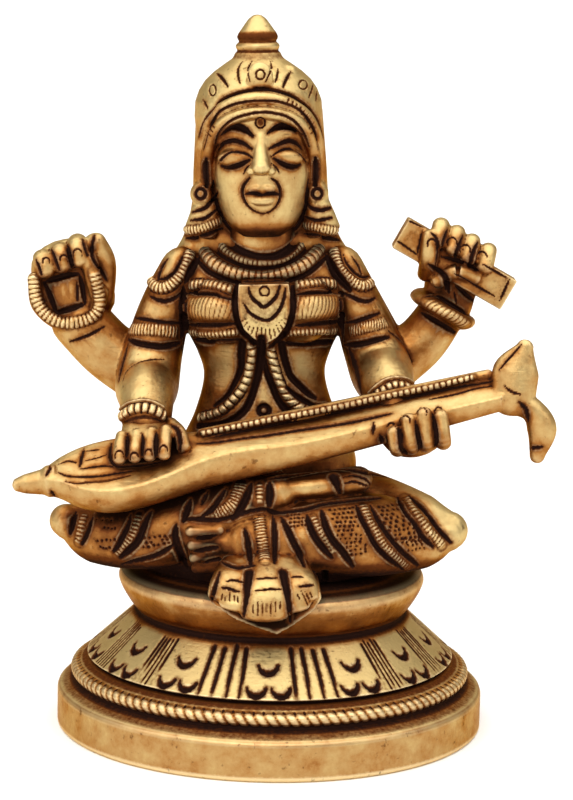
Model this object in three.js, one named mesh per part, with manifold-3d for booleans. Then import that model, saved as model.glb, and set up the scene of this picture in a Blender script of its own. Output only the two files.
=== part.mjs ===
// A small cast brass figure of a four-armed goddess who sits cross-legged and plays a veena.
// Figure, instrument, cushion and round lotus plinth are one casting.
// Millimetres, +Z up, front towards -Y, origin at the centre of the underside.

import * as THREE from 'three';
import { mergeVertices } from 'three/addons/utils/BufferGeometryUtils.js';
import Module from 'manifold-3d';

const wasm = await Module();
wasm.setup();

// Sizes of the plinth: a flat disc, a rope ring on its shoulder and a cone of lotus petals
const BASE_RADIUS = 34.45;
const BASE_THICKNESS = 5.7;
const ROPE_THICKNESS = 2.1;
const ROPE_INSET = 3.25;
const ROPE_RISE = 3.1;
const PETAL_FOOT_INSET = 1.6;
const PETAL_FOOT_RISE = 2.6;
const PETAL_UNDERCUT = 1.2;
const PETAL_HEIGHT = 6.7;
const PETAL_COUNT = 14;
const PETAL_PANEL_SHARE = 0.62;
const PETAL_GROOVE_DEPTH = 0.6;
const PETAL_RIM = 0.7;
const PETAL_ROOT = 4;

// Sizes of the cushion on the plinth
const CUSHION_RADIUS = 24.6;
const CUSHION_HEIGHT = 7.6;
const NECK_DEPTH = 3.0;
const NECK_STEP = 0.4;

// Sizes of the three pleated lobes of cloth that hang over the front of the cushion
const FAN_LOBE_PITCH = 5.7;
const FAN_LOBE_HALF_WIDTH = 3.3;
const FAN_THICKNESS = 1.8;
const FAN_RISE = 3.4;
const FAN_DROP = 5.0;
const FAN_MIDDLE = 0.4;

// Sizes of the figure: its height above the cushion, its lean and its place on the cushion
const FIGURE_HEIGHT = 87.8;
const FIGURE_LEAN_DEG = 1.76;
const FIGURE_SHIFT = -0.8;
const SEAT_SINK = 0.1;

// The figure is drawn at full size with its seat and the tip of its crown at these heights
const DRAWN_SEAT = 26;
const DRAWN_TIP = 113.8;

// Facets round a limb, round a thin cord and round the plinth, and rings on a limb's round end
const LIMB_SIDES = 7;
const CORD_SIDES = 4;
const PLINTH_SIDES = 32;
const CAP_RINGS = 1;

// A facetted limb is drawn this much over its radius, so that its flats sit on the round form
const FACET_ALLOWANCE = 1.03;

const brass = new THREE.MeshStandardMaterial({ color: '#b8863b', roughness: 0.35, metalness: 1 });

// Heights and radii that follow from the sizes above
const ropeRadius = BASE_RADIUS - ROPE_INSET;
const ropeZ = BASE_THICKNESS + ROPE_RISE;
const petalFootRadius = ropeRadius - PETAL_FOOT_INSET;
const petalFootZ = ropeZ + PETAL_FOOT_RISE;
const petalTopZ = petalFootZ + PETAL_HEIGHT;
const neckRadius = CUSHION_RADIUS - NECK_DEPTH;
const petalTopRadius = neckRadius + PETAL_RIM;
const cushionFootZ = petalTopZ + NECK_STEP;
const seatZ = cushionFootZ + CUSHION_HEIGHT;
const figureShare = FIGURE_HEIGHT / (DRAWN_TIP - DRAWN_SEAT);

const v = (x, y, z) => new THREE.Vector3(x, y, z);

// Closed geometry to a solid that can be joined and cut
function solid(geometry) {
  const bare = geometry.clone();
  bare.deleteAttribute('normal');
  bare.deleteAttribute('uv');
  const merged = mergeVertices(bare, 1e-4);
  const corners = merged.index.array;
  const faces = [];
  for (let i = 0; i < corners.length; i += 3) {
    const [a, b, c] = corners.slice(i, i + 3);
    if (a !== b && b !== c && c !== a) faces.push(a, b, c);
  }
  return new wasm.Manifold(new wasm.Mesh({
    numProp: 3,
    vertProperties: merged.attributes.position.array,
    triVerts: Uint32Array.from(faces),
  }));
}

function union(solids) {
  return solids.reduce((whole, next) => whole.add(next));
}

// Every corner of a geometry moved by a function
function reshape(geometry, move) {
  const position = geometry.attributes.position;
  const corner = v(0, 0, 0);
  for (let i = 0; i < position.count; i += 1) {
    corner.fromBufferAttribute(position, i);
    const moved = move(corner);
    position.setXYZ(i, moved.x, moved.y, moved.z);
  }
  return geometry;
}

// A round solid about the Z axis from [radius, height] points, lowest first
function turned(profile, sides) {
  const points = profile.map(([radius, z]) => new THREE.Vector2(radius, z));
  return new THREE.LatheGeometry(points, sides).rotateX(Math.PI / 2);
}

// An ellipsoid, turned by angles in degrees about X, Y and Z
function ball(centre, radii, tilt = [0, 0, 0], sides = 12, rows = 8) {
  const geometry = new THREE.SphereGeometry(1, sides, rows).rotateX(Math.PI / 2);
  geometry.scale(...radii);
  const turn = new THREE.Euler(...tilt.map(THREE.MathUtils.degToRad));
  geometry.applyMatrix4(new THREE.Matrix4().makeRotationFromEuler(turn));
  return solid(geometry.translate(...centre));
}

// A box, turned in the same way
function block(centre, size, tilt = [0, 0, 0]) {
  const geometry = new THREE.BoxGeometry(...size);
  const turn = new THREE.Euler(...tilt.map(THREE.MathUtils.degToRad));
  geometry.applyMatrix4(new THREE.Matrix4().makeRotationFromEuler(turn));
  return solid(geometry.translate(...centre));
}

// A limb's route: points, a radius or [across, through] at each, and a direction across it
function route(points, radii, across = [1, 0, 0]) {
  const curve = new THREE.CatmullRomCurve3(points.map((point) => v(...point)), false, 'centripetal');
  const pairs = radii.map((radius) => (Array.isArray(radius) ? radius : [radius, radius]));
  const last = pairs.length - 1;
  const reference = v(...across);
  return (t) => {
    const centre = curve.getPoint(t);
    const along = curve.getTangent(t);
    const side = reference.clone().addScaledVector(along, -reference.dot(along)).normalize();
    const through = side.clone().cross(along);
    const lower = Math.min(Math.floor(t * last), last - 1);
    const [width, depth] = pairs[lower].map(
      (radius, k) => THREE.MathUtils.lerp(radius, pairs[lower + 1][k], t * last - lower));
    return { centre, along, side, through, width, depth };
  };
}

// A round-ended limb along a route. Stations are shares of its length, each with a lift of the skin
function limb(at, { sides = LIMB_SIDES, steps = 6, capLength = 1, stations = null, slant = 0 } = {}) {
  const rings = stations ?? Array.from({ length: steps + 1 }, (_, i) => [i / steps, 0]);
  const last = rings.length - 1;
  const geometry = new THREE.CapsuleGeometry(1, 1, CAP_RINGS, sides, last);
  return solid(reshape(geometry, (p) => {
    const inside = THREE.MathUtils.clamp(p.y, -0.5, 0.5);
    const [share, lift] = rings[Math.round((inside + 0.5) * last)];
    const s = at(share + slant * Math.sin(Math.PI * share) * p.x);
    const beyond = (p.y - inside) * capLength * (s.width + s.depth) / 2;
    return s.centre.addScaledVector(s.along, beyond)
      .addScaledVector(s.side, p.x * (s.width + lift) * FACET_ALLOWANCE)
      .addScaledVector(s.through, p.z * (s.depth + lift) * FACET_ALLOWANCE);
  }));
}

// A cord or fold of one radius along points
function cord(points, radius, steps = 8, across = [0, 0.3, 1]) {
  const at = route(points, points.map(() => radius), across);
  return limb(at, { sides: CORD_SIDES, steps });
}

// Rings of a limb whose skin is raised into a band from each share of its length to another
function banded(plain, bands) {
  const edges = bands.flatMap(([from, to, lift]) => [
    [from - 0.008, 0], [from, lift], [to, lift], [Math.min(to + 0.008, 1), to < 1 ? 0 : lift],
  ]);
  return [...plain.map((share) => [share, 0]), ...edges].sort((a, b) => a[0] - b[0]);
}

// A body from flat oval sections: [height, half width, half depth, middle of depth]
function body(rows, sides = 18, squareness = 1) {
  const profile = [[0, 0], ...rows.map((row, i) => [1, i]), [0, rows.length - 1]];
  const rounder = (value) => Math.sign(value) * Math.abs(value) ** squareness;
  return solid(reshape(turned(profile, sides), (p) => {
    const [z, width, depth, middle] = rows[Math.round(p.z)];
    return v(rounder(p.x) * width, middle + rounder(p.y) * depth, z);
  }));
}

// Plinth and cushion

function plinth() {
  const r = BASE_RADIUS;
  const bead = [-45, 5, 60].map((deg) => {
    const angle = THREE.MathUtils.degToRad(deg);
    return [ropeRadius + ROPE_THICKNESS / 2 * Math.cos(angle), ropeZ + ROPE_THICKNESS / 2 * Math.sin(angle)];
  });
  const swell = [[0.42, 0.14], [0.92, 0.45], [0.96, 0.76], [0.3, 1]].map(
    ([out, up]) => [neckRadius + NECK_DEPTH * out, cushionFootZ + CUSHION_HEIGHT * up]);
  return solid(turned([
    [0, 0],
    [r, 0],
    [r, BASE_THICKNESS],
    [r - ROPE_INSET * 0.45, BASE_THICKNESS + ROPE_RISE * 0.4],
    [ropeRadius - ROPE_THICKNESS * 0.1, ropeZ - ROPE_THICKNESS * 0.62],
    ...bead,
    [ropeRadius - PETAL_FOOT_INSET * 0.6, ropeZ + PETAL_FOOT_RISE * 0.5],
    [petalFootRadius - PETAL_UNDERCUT, ropeZ + PETAL_FOOT_RISE * 0.75],
    [petalFootRadius - PETAL_UNDERCUT * 0.8, petalFootZ + 0.2],
    [neckRadius, petalTopZ - 0.6],
    [neckRadius, cushionFootZ],
    ...swell,
    [0, seatZ],
  ], PLINTH_SIDES));
}

// The cone of petals: flat panels parted by groups of upright grooves
function petals() {
  const stations = [-1, 1].map((side) => side * PETAL_PANEL_SHARE / 2);
  const gap = 1 - PETAL_PANEL_SHARE;
  const grooves = [0.22, 0.5, 0.78].map((share) => PETAL_PANEL_SHARE / 2 + gap * share);
  const pattern = [stations[0], stations[1], grooves[0], grooves[1], grooves[2]];
  const sunk = [0, 0, 1, 0.12, 1];
  const steps = pattern.length;
  const columns = PETAL_COUNT * steps;
  const ring = [
    [petalFootRadius - PETAL_ROOT, petalFootZ],
    [petalFootRadius, petalFootZ],
    [petalTopRadius, petalTopZ],
    [petalTopRadius - PETAL_ROOT / 2, petalTopZ],
  ];
  const onFace = (radius) => ring.slice(1, 3).some(([edge]) => Math.abs(radius - edge) < 1e-3);
  return solid(reshape(turned([...ring, ring[0]], columns), (p) => {
    const turn = Math.atan2(p.x, -p.y) / (2 * Math.PI) * columns;
    const index = (Math.round(turn) + columns * 2) % columns;
    const angle = (Math.floor(index / steps) + pattern[index % steps]) * 2 * Math.PI / PETAL_COUNT;
    const radius = Math.hypot(p.x, p.y);
    const reach = radius - (onFace(radius) ? sunk[index % steps] * PETAL_GROOVE_DEPTH : 0);
    return v(Math.sin(angle) * reach, -Math.cos(angle) * reach, p.z);
  }));
}

// Three lobes of pleated cloth that spill over the front of the cushion
function clothFan() {
  const out = CUSHION_RADIUS;
  const wide = FAN_LOBE_HALF_WIDTH;
  return [-1, 0, 1].map((place) => {
    const x = FAN_MIDDLE + place * FAN_LOBE_PITCH;
    return limb(route([
      [x * 0.75, wide * 1.5 - out, seatZ + FAN_RISE],
      [x, -out - FAN_THICKNESS * 0.1, seatZ + FAN_THICKNESS * 0.1],
      [FAN_MIDDLE * 2 + place * wide * 0.9, -out - FAN_THICKNESS * 0.65, seatZ - FAN_DROP],
    ], [[wide * 0.8, FAN_THICKNESS * 1.2], [wide, FAN_THICKNESS], [wide * 0.55, FAN_THICKNESS * 0.45]]),
    { sides: 6, steps: 3 });
  });
}

// Trunk, neck, head and hair, drawn about the figure's own upright axis

function trunk() {
  const belly = body([
    [25, 14, 9.5, 0.5], [34, 15.8, 9.8, 1], [41, 15.6, 8.8, 1], [46, 13.6, 7.4, 0.8],
    [51, 11.2, 6.4, 0.8], [57, 9.7, 5.8, 1], [60.5, 10.6, 6.2, 1], [65, 12.6, 7.0, 1],
    [71, 13.2, 6.8, 1], [74.5, 12.6, 6.2, 1.2], [77.5, 8.5, 4.8, 1.5],
  ], 14);
  const neck = limb(route([[0, 1, 75], [0, 0.8, 82]], [4.6, 4.3]), { steps: 1 });
  const bust = [-1, 1].map((side) => ball([side * 5.9, -4.2, 67.6], [5.4, 4.4, 5.2], [0, 0, 0], 8, 5));
  return [belly, neck, ...bust];
}

// The head with the forms of a calm idol's face: lids, nose, lips and chin
function head() {
  const skull = body([
    [79.6, 2.2, 1.9, -5.6], [81, 4.4, 4.4, -3.8], [83.4, 6.2, 6.8, -2], [86.5, 7.4, 8.3, -1],
    [91.5, 8.0, 9.1, -0.3], [98.5, 7.6, 8.6, 0.4], [101, 6, 6, 1],
  ], 14);
  const nose = limb(route([[0, -8.6, 94.6], [0, -9.6, 91.6], [0.1, -10.6, 89.6]],
    [[0.7, 0.7], [1.0, 1.0], [1.35, 1.1]]), { sides: 6, steps: 2 });
  const faceParts = [-1, 1].flatMap((side) => [
    ball([side * 4.0, -7.7, 91.9], [2.6, 1.2, 1.25], [0, side * 5, side * 20], 8, 4),
    cord([[side * 1.2, -8.7, 95.2], [side * 3.8, -7.9, 96.3], [side * 6.6, -5.2, 94.6]], 0.65, 3),
  ]);
  const lips = [
    ball([0.1, -8.9, 86.9], [2.5, 1.2, 0.8], [0, 0, 0], 6, 4),
    ball([0.1, -8.6, 85.2], [2.1, 1.3, 0.9], [0, 0, 0], 6, 4),
    ball([0.1, -7.2, 81.6], [2.2, 1.5, 1.6], [0, 0, 0], 6, 4),
  ];
  return [skull, nose, ...faceParts, ...lips, ball([0, -8.5, 97.4], [0.9, 0.8, 0.9], [0, 0, 0], 6, 3)];
}

// The crown: a dome with two bands over the brow and a finial of two rings and a cone
function crown() {
  const dome = solid(turned([
    [0, 98.4], [10.3, 98.4], [10.0, 100.4], [9.0, 102.6], [7.2, 104.6], [4.3, 106.0],
    [4.35, 107.1], [3.3, 107.9], [3.7, 109.2], [2.7, 110.8], [1.9, 112.4], [0.5, 113.8], [0, 113.8],
  ], 12)).scale([1, 0.94, 1]).translate([-0.4, 0.4, 0]);
  const bands = [
    [[-9.5, -1.4, 87.5], [-9.3, -3.4, 93.5], [-6.8, -7.2, 98.9], [-0.2, -9.0, 101.2], [6.4, -7.2, 98.9],
      [8.9, -3.4, 93.5], [9.2, -1.4, 87.5]],
    [[-8.5, -2.8, 88], [-8.2, -4.8, 93.0], [-5.8, -8.1, 97.3], [0, -9.5, 99.0], [5.8, -8.1, 97.3],
      [8.0, -4.8, 93.0], [8.3, -2.8, 88]],
  ].map((points) => cord(points, 1.0, 8));
  const jewel = ball([0, -8.1, 104.2], [2.1, 1.4, 2.3], [0, 0, 0], 6, 4);
  return [dome, ...bands, jewel];
}

// Hair that falls behind the ears to the shoulders, with a disc and a fringe at each ear
function hair() {
  const fall = body([
    [70, 13.6, 4.6, 4.2], [75, 14.4, 5.4, 3.6], [79, 12.4, 5.8, 3.4], [84, 11.0, 6.4, 3.2],
    [90, 10.6, 7.0, 3.0], [99, 10.0, 7.4, 2.2],
  ], 12);
  const ears = [-1, 1].flatMap((side) => [
    ball([side * 9.2 - 0.2, -2.2, 85.2], [1.9, 2.2, 1.9], [0, 0, side * 35], 8, 4),
    limb(route([[side * 9.3, -1.4, 83.2], [side * 10.2, -1.0, 78.6]], [[1.6, 1.8], [2.3, 2.0]]),
      { sides: 6, steps: 1 }),
  ]);
  return [fall.translate([-0.3, 0, 0]), ...ears];
}

// Arms: the front pair plays the veena, the rear pair is raised

const strummingArm = route([
  [-12.6, 1.5, 73.4], [-15.6, 1.2, 67.5], [-17.6, 0.4, 61.0], [-18.6, -2.6, 56.0], [-18.4, -8.4, 54.6],
  [-18.2, -12.8, 51.9],
], [4.0, 4.2, 4.7, 5.1, 4.4, 3.9]);
const frettingArm = route([
  [12.2, 1.5, 73.4], [15.0, 1.2, 67.5], [17.0, 0.4, 62.0], [18.6, -2.6, 57.6], [19.2, -8.0, 56.4],
  [20.2, -12.6, 53.8],
], [3.9, 4.1, 4.7, 5.0, 4.4, 3.9]);
const rearLeftForearm = route([[-20.4, 3.6, 57.0], [-25.2, 3.6, 60.6], [-29.6, 3.4, 65.4]], [4.9, 4.8, 4.7]);
const rearRightForearm = route([[21.0, 3.6, 58.2], [25.2, 3.6, 61.4], [28.9, 3.2, 66.4]], [4.7, 4.2, 3.8]);

function arms() {
  const rearUpperArms = [-1, 1].map((side) => limb(route(
    [[side * 13.5, 3.8, 71], [side * 19.6, 3.6, 57.6]], [3.8, 4.8]), { steps: 1 }));
  const armletAndBracelet = banded([0, 0.46, 0.6, 0.8, 1], [[0.29, 0.36, 0.7], [0.92, 0.985, 0.4]]);
  return [
    ...rearUpperArms,
    limb(strummingArm, { stations: armletAndBracelet }),
    limb(frettingArm, { stations: armletAndBracelet }),
    limb(rearLeftForearm, { steps: 2 }),
    limb(rearRightForearm, { stations: banded([0, 0.45], [[0.84, 1, 1.0]]), capLength: 0.3 }),
  ];
}

// A row of fingers, each a short limb through its own points
function fingers(rows, radius, steps = 2) {
  return rows.map((points) => limb(route(points, points.map(() => [radius, radius * 0.9])),
    { sides: 5, steps, capLength: 0.8 }));
}

// The raised left fist: folded fingers and thumb round a square hollow, and a string of beads
function rearLeftFist() {
  const palm = limb(route([[-30.2, 3.2, 68.6], [-31.0, 3.2, 74.4]], [[6.5, 3.4], [6.3, 3.2]]),
    { steps: 1, capLength: 0.9 });
  const folded = [-35.2, -32.4, -29.6].map((x, i) => [
    [x, 2.8, 75.6 + i * 1.25], [x + 0.3, -0.2, 75.6 + i], [x + 0.8, -0.6, 73.9 + i * 0.8],
  ]);
  const forefinger = [[-25.8, 2.4, 69], [-25.4, 2.2, 75], [-26.8, 1.2, 78.2]];
  const thumb = [[-26.2, 0.6, 68.8], [-27.0, -0.4, 72.6], [-27.6, -0.4, 75.8]];
  const hollow = block([-31.4, -0.4, 70.1], [6.0, 3.2, 4.8], [0, -14, 0]);
  const boss = block([-31.3, 1.2, 70.0], [3.9, 2.4, 3.3], [0, -14, 0]);
  const beads = cord([
    [-36.4, 0.4, 72.5], [-35.8, 0.0, 68.2], [-31.6, -0.2, 65.1], [-27.2, 0, 66.4], [-25.8, 0.4, 70.2],
  ], 1.15, 6, [0, 1, 0]);
  return [union([
    palm,
    ...fingers(folded, 1.6),
    ...fingers([forefinger], 1.9),
  ]).subtract(hollow), boss, ...fingers([thumb], 1.35), beads];
}

// The raised right hand: four fingers and a thumb round a scroll of palm leaves
function rearRightHand() {
  const palm = limb(route([[29.4, 3, 67.5], [30.6, 3, 73.4]], [[4.1, 3.0], [4.5, 2.6]]), { steps: 1 });
  const scroll = block([30.4, 1.2, 74.3], [19.9, 4.6, 5.3], [0, 30.5, 0]);
  const wrapped = [[28.2, 81.0], [30.7, 79.8], [33.1, 78.4], [35.7, 76.9]].map(([x, z]) => [
    [x + 0.2, 2.6, z - 0.9], [x, -0.4, z - 0.7], [x - 0.6, -1.8, z - 3.0],
  ]);
  const thumb = [[26.0, 0.8, 72.6], [26.3, -1.6, 75.4], [26.6, -1.4, 78.8]];
  const heel = [[27.6, -0.4, 71.5], [30.6, -1.3, 73.2], [33.8, -1.0, 72.2]];
  return [palm, scroll, ...fingers(wrapped, 1.4), ...fingers([thumb], 1.5), ...fingers([heel], 1.2)];
}

// The front hands, laid on the veena's body and closed round its neck
function frontHands() {
  const strummingPalm = limb(route([[-18.2, -13.0, 51.6], [-18.1, -17.2, 49.9]], [[3.7, 2.2], [4.0, 1.5]]),
    { steps: 1 });
  const laid = [-21.7, -19.4, -17.1, -14.9].map((x, i) => [
    [x, -17.4, 50.2 + i * 0.3], [x - 0.2, -19.8, 48.6 + i * 0.2], [x - 0.3, -20.4, 47.1 + i * 0.2],
  ]);
  const strummingThumb = [[-13.6, -14.6, 51.6], [-12.2, -17.6, 50.4], [-11.0, -19.2, 48.0]];
  const frettingPalm = ball([22.4, -14.6, 50.6], [4.6, 2.6, 4.0], [0, -15, 0]);
  const closed = [[20.0, 51.8], [22.2, 53.7], [24.5, 54.6], [27.0, 54.2]].map(([x, z], i) => [
    [x + 0.6, -16.6, 47.5 + i * 0.35], [x + 0.4, -20.8, 48.6 + i * 0.35], [x, -20.4, z - 0.8],
  ]);
  return [
    strummingPalm,
    ...fingers(laid, 1.05),
    ...fingers([strummingThumb], 1.0),
    frettingPalm,
    ...fingers(closed, 1.1, 2),
  ];
}

// The veena: [x, back edge z, front edge z, belly z, half depth] at each station from tail to head
const VEENA_Y = -17;
const VEENA = [
  [-33.6, 45.2, 44.0, 41.0, 2.0], [-31.4, 46.6, 44.2, 40.4, 3.0], [-28.0, 48.0, 43.4, 38.9, 4.2],
  [-23.6, 49.0, 43.2, 38.2, 4.9], [-19.0, 49.5, 43.9, 38.9, 4.8], [-14.4, 49.9, 45.4, 40.2, 4.3],
  [-9.8, 50.2, 47.2, 41.6, 3.6], [-4.0, 50.8, 48.6, 43.0, 3.0], [5.6, 52.0, 49.6, 45.2, 2.6],
  [20.0, 55.2, 52.8, 48.9, 2.5], [36.5, 59.0, 56.4, 53.4, 2.5],
];

function veena() {
  // Height runs from 0 at the belly through 1 at the front edge to 2 at the back edge of the deck
  const section = new THREE.Shape([
    [0, 0], [0.55, 0.1], [0.96, 0.5], [1, 1.4], [0.86, 2], [-0.85, 1], [-1, 0.88], [-0.96, 0.5], [-0.55, 0.1],
  ].map(([y, height]) => new THREE.Vector2(y, height)));
  const geometry = new THREE.ExtrudeGeometry(section, {
    depth: VEENA.length - 1, steps: VEENA.length - 1, bevelEnabled: false,
  });
  const hull = solid(reshape(geometry, (p) => {
    const [x, back, front, belly, half] = VEENA[Math.round(p.z)];
    const z = p.y > 1 ? THREE.MathUtils.lerp(front, back, p.y - 1) : THREE.MathUtils.lerp(belly, front, p.y);
    return v(x, VEENA_Y + p.x * half, z);
  }));
  const tail = solid(new THREE.LatheGeometry(
    [[0, -6.4], [0.9, -6.0], [1.5, -4.4], [2.0, -1.6], [2.5, -0.8], [2.5, 0.6], [0, 2]]
      .map(([r, y]) => new THREE.Vector2(r, y)), 10)
    .rotateZ(-Math.PI / 2).rotateY(-THREE.MathUtils.degToRad(6)).translate(-32.6, VEENA_Y, 43.2));
  const fretTop = (x) => THREE.MathUtils.mapLinear(x, -9.8, 34.8, 50.1, 58.9);
  const frets = cord([[-9.6, VEENA_Y + 1.6, fretTop(-9.6)], [34.6, VEENA_Y + 1.6, fretTop(34.6)]], 0.8, 1);
  const leaf = limb(route([[38.2, VEENA_Y, 55.6], [38.8, VEENA_Y, 59.6], [40.2, VEENA_Y, 63.4]],
    [[3.6, 2.4], [3.6, 1.9], [1.3, 0.9]]), { sides: 8, steps: 3 });
  const hook = limb(route([
    [37.2, VEENA_Y, 55.4], [41.6, VEENA_Y, 53.6], [43.2, VEENA_Y, 50.8], [42.5, VEENA_Y, 46.4],
  ], [[2.0, 2.2], [2.0, 1.9], [1.9, 2.3], [1.2, 1.2]], [0, 1, 0]), { sides: 8, steps: 5 });
  return [hull, tail, frets, leaf, hook];
}

// Crossed legs: the right shin lies in front, the left foot rests on the right thigh

const leftThigh = route([[-9, 1, 35.5], [-19, -4.6, 35.2], [-28.4, -8, 34.0]], [8.0, 6.0, 4.8], [0, 0.4, 1]);
const rightThigh = route([[9, 1, 35.5], [18, -4.6, 35.0], [26.8, -8, 32.6]], [7.6, 5.8, 4.8], [0, 0.4, 1]);
const leftShin = route(
  [[-28.2, -9, 33.6], [-17, -12.8, 34.4], [-6, -14.2, 38.2], [2, -14.6, 40.6]],
  [[4.8, 4.8], [5.8, 4.8], [4.8, 4.2], [3.2, 3.6]], [0, 0.4, 1]);
const rightShin = route(
  [[27.0, -9, 32.0], [16, -13.2, 33.4], [5, -16.0, 33.8], [-2.5, -17, 33.2]],
  [[4.6, 4.8], [6.6, 4.8], [5.6, 4.0], [4.2, 3.2]], [0, 0.4, 1]);

// Rings of a clothed leg: a raised hem between two grooves at each share, plain cloth between hems
function hemmed(shares, width, groove, rise) {
  const rings = shares.flatMap((share, i) => {
    const next = shares[i + 1] ?? share + 3 * width;
    return [[share - width, -groove], [share, rise], [share + width, -groove], [(share + next) / 2, 0.2]];
  });
  return [[0, 0], ...rings, [1, 0]];
}

function legs() {
  const lap = body([[26, 20, 14.6, -2], [32, 21, 14.4, -2.5], [38, 15.5, 12.2, -2], [42, 11, 9.4, -1]], 10);
  const lowerFoot = limb(
    route([[-2.6, -16.0, 32.6], [-10.4, -16.6, 32.4]], [[3.8, 3.2], [3.5, 2.2]], [0, 0, 1]),
    { steps: 1, capLength: 0.5 });
  const toes = [35.4, 33.3, 31.2, 29.6].map((z, i) => [[-7, -18.0, z], [-11.4 + i * 0.3, -18.2, z - 0.1]]);
  const upperFoot = limb(route([[0.5, -14.6, 41.2], [8, -14.4, 41.6], [14.6, -13.2, 42.2]],
    [[2.0, 2.8], [2.1, 2.6], [2.1, 2.4]], [0, 0, 1]), { sides: 8, steps: 2 });
  return [
    lap,
    limb(leftThigh, { sides: 6, steps: 2 }),
    limb(rightThigh, { sides: 6, steps: 2 }),
    limb(leftShin, { stations: hemmed([0.13, 0.4, 0.68], 0.036, 1.0, 0.3), slant: -0.1 }),
    limb(rightShin, { stations: hemmed([0.1, 0.32, 0.53, 0.76], 0.034, 0.8, 0.3), slant: 0.12 }),
    lowerFoot,
    ...fingers(toes, 1.0, 1),
    upperFoot,
  ];
}

// Jewels and dress on the chest, each a raised cord or plate

function dress() {
  const necklace = (half, topZ, lowZ, radius, frontY) => {
    const sideZ = topZ - (topZ - lowZ) * 0.62;
    return cord([
      [-half, frontY * 0.14, topZ], [-half * 0.72, frontY * 0.74, sideZ], [0, frontY, lowZ],
      [half * 0.72, frontY * 0.74, sideZ], [half, frontY * 0.14, topZ],
    ], radius, 6);
  };
  const roll = (z, radius) => cord([
    [-11.7, -2.4, z], [-8.6, -6.9, z], [-5.6, -8.5, z], [0, -7.8, z],
    [5.6, -8.5, z], [8.6, -6.9, z], [11.7, -2.4, z],
  ], radius, 6);
  const plate = new THREE.Shape();
  plate.moveTo(-4.1, 71.6);
  plate.quadraticCurveTo(-4.6, 66, 0.3, 63.2);
  plate.quadraticCurveTo(4.8, 66, 4.3, 71.6);
  const pendant = solid(new THREE.ExtrudeGeometry(plate, { depth: 4.2, bevelEnabled: false, curveSegments: 5 })
    .rotateX(Math.PI / 2).translate(0, -5.2, 0));
  const loop = (side) => cord([
    [side * 11.0, -3.0, 76.2], [side * 12.0, -3.9, 73.4], [side * 13.8, -3.6, 71.3],
    [side * 16.0, -2.4, 71.2], [side * 16.3, -1.0, 72.8], [side * 14.8, 0.2, 74.6],
  ], 1.0, 6);
  const ribbon = (side) => cord([
    [side * 1.5, -6.2, 63.0], [side * 1.6, -5.5, 58.6], [side * 3.4, -5.3, 54.6], [side * 7.0, -4.5, 52.0],
    [side * 10.4, -2.0, 51.2],
  ], 0.95, 5);
  return [
    necklace(7.9, 78.2, 75.6, 0.8, -4.8),
    necklace(9.9, 77.4, 73.0, 1.2, -5.8),
    roll(71.4, 0.85),
    roll(64.2, 0.8),
    pendant,
    loop(-1),
    loop(1),
    ribbon(-1),
    ribbon(1),
  ];
}

function figure() {
  const parts = [
    ...trunk(), ...head(), ...crown(), ...hair(), ...arms(), ...rearLeftFist(), ...rearRightHand(),
    ...frontHands(), ...veena(), ...legs(), ...dress(),
  ];
  const lean = THREE.MathUtils.degToRad(-FIGURE_LEAN_DEG);
  const seat = new THREE.Matrix4().makeTranslation(FIGURE_SHIFT, 0, seatZ - SEAT_SINK)
    .multiply(new THREE.Matrix4().makeRotationY(lean))
    .multiply(new THREE.Matrix4().makeScale(figureShare, figureShare, figureShare))
    .multiply(new THREE.Matrix4().makeTranslation(0, 0, -DRAWN_SEAT));
  return union(parts).transform(seat.elements);
}

function toGeometry(whole) {
  const mesh = whole.getMesh();
  const geometry = new THREE.BufferGeometry();
  geometry.setAttribute('position', new THREE.Float32BufferAttribute(mesh.vertProperties, 3));
  geometry.setIndex(Array.from(mesh.triVerts));
  return geometry;
}

const casting = union([plinth(), petals(), ...clothFan(), figure()]);
const brassFigure = new THREE.Mesh(toGeometry(casting), brass);
brassFigure.name = 'brass_casting';

const group = new THREE.Group();
group.add(brassFigure);

export default group;
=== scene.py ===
# A small four-armed goddess of cast brass who sits cross-legged and plays a veena.
# Plinth, figure and instrument are one casting. It was cast rough, cut sharp with chisels,
# washed with a dark oxide and rubbed bright on its high places.

import math
import random

import bmesh
import bpy
import numpy as np
from mathutils import Euler, Matrix, Vector
from mathutils.bvhtree import BVHTree


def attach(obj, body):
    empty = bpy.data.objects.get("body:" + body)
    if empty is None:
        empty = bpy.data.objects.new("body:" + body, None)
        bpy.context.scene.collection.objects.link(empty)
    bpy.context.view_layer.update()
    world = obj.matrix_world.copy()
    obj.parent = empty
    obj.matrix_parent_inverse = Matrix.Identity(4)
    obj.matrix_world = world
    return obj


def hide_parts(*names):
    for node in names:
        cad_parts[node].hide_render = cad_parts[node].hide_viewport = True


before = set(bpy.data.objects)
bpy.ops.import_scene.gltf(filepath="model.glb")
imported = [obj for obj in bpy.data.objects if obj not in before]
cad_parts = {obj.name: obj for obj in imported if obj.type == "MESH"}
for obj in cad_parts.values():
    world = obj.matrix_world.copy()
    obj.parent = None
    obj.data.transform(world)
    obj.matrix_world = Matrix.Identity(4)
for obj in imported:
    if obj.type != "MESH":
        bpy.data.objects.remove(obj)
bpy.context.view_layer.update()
random.seed(7)

# The camera stands a little above the crown, some 400 mm in front, and looks down a little.
# Its place, tilt and lens give the outline the photograph shows.

MM = 0.001
EYE = Vector((1.89, -400.0, 119.6))
LOOKS_DOWN_DEG = 9.49
LEANS_DEG = 1.16

camera_data = bpy.data.cameras.new("camera")
camera_data.lens = 113.9
camera_data.sensor_width = 36
camera_data.clip_start = 0.01
camera = bpy.data.objects.new("camera", camera_data)
camera.matrix_world = (
    Matrix.Translation(EYE * MM)
    @ Matrix.Rotation(math.radians(90 - LOOKS_DOWN_DEG), 4, "X")
    @ Matrix.Rotation(math.radians(LEANS_DEG), 4, "Z")
)
bpy.context.scene.collection.objects.link(camera)
bpy.context.scene.camera = camera

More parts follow.
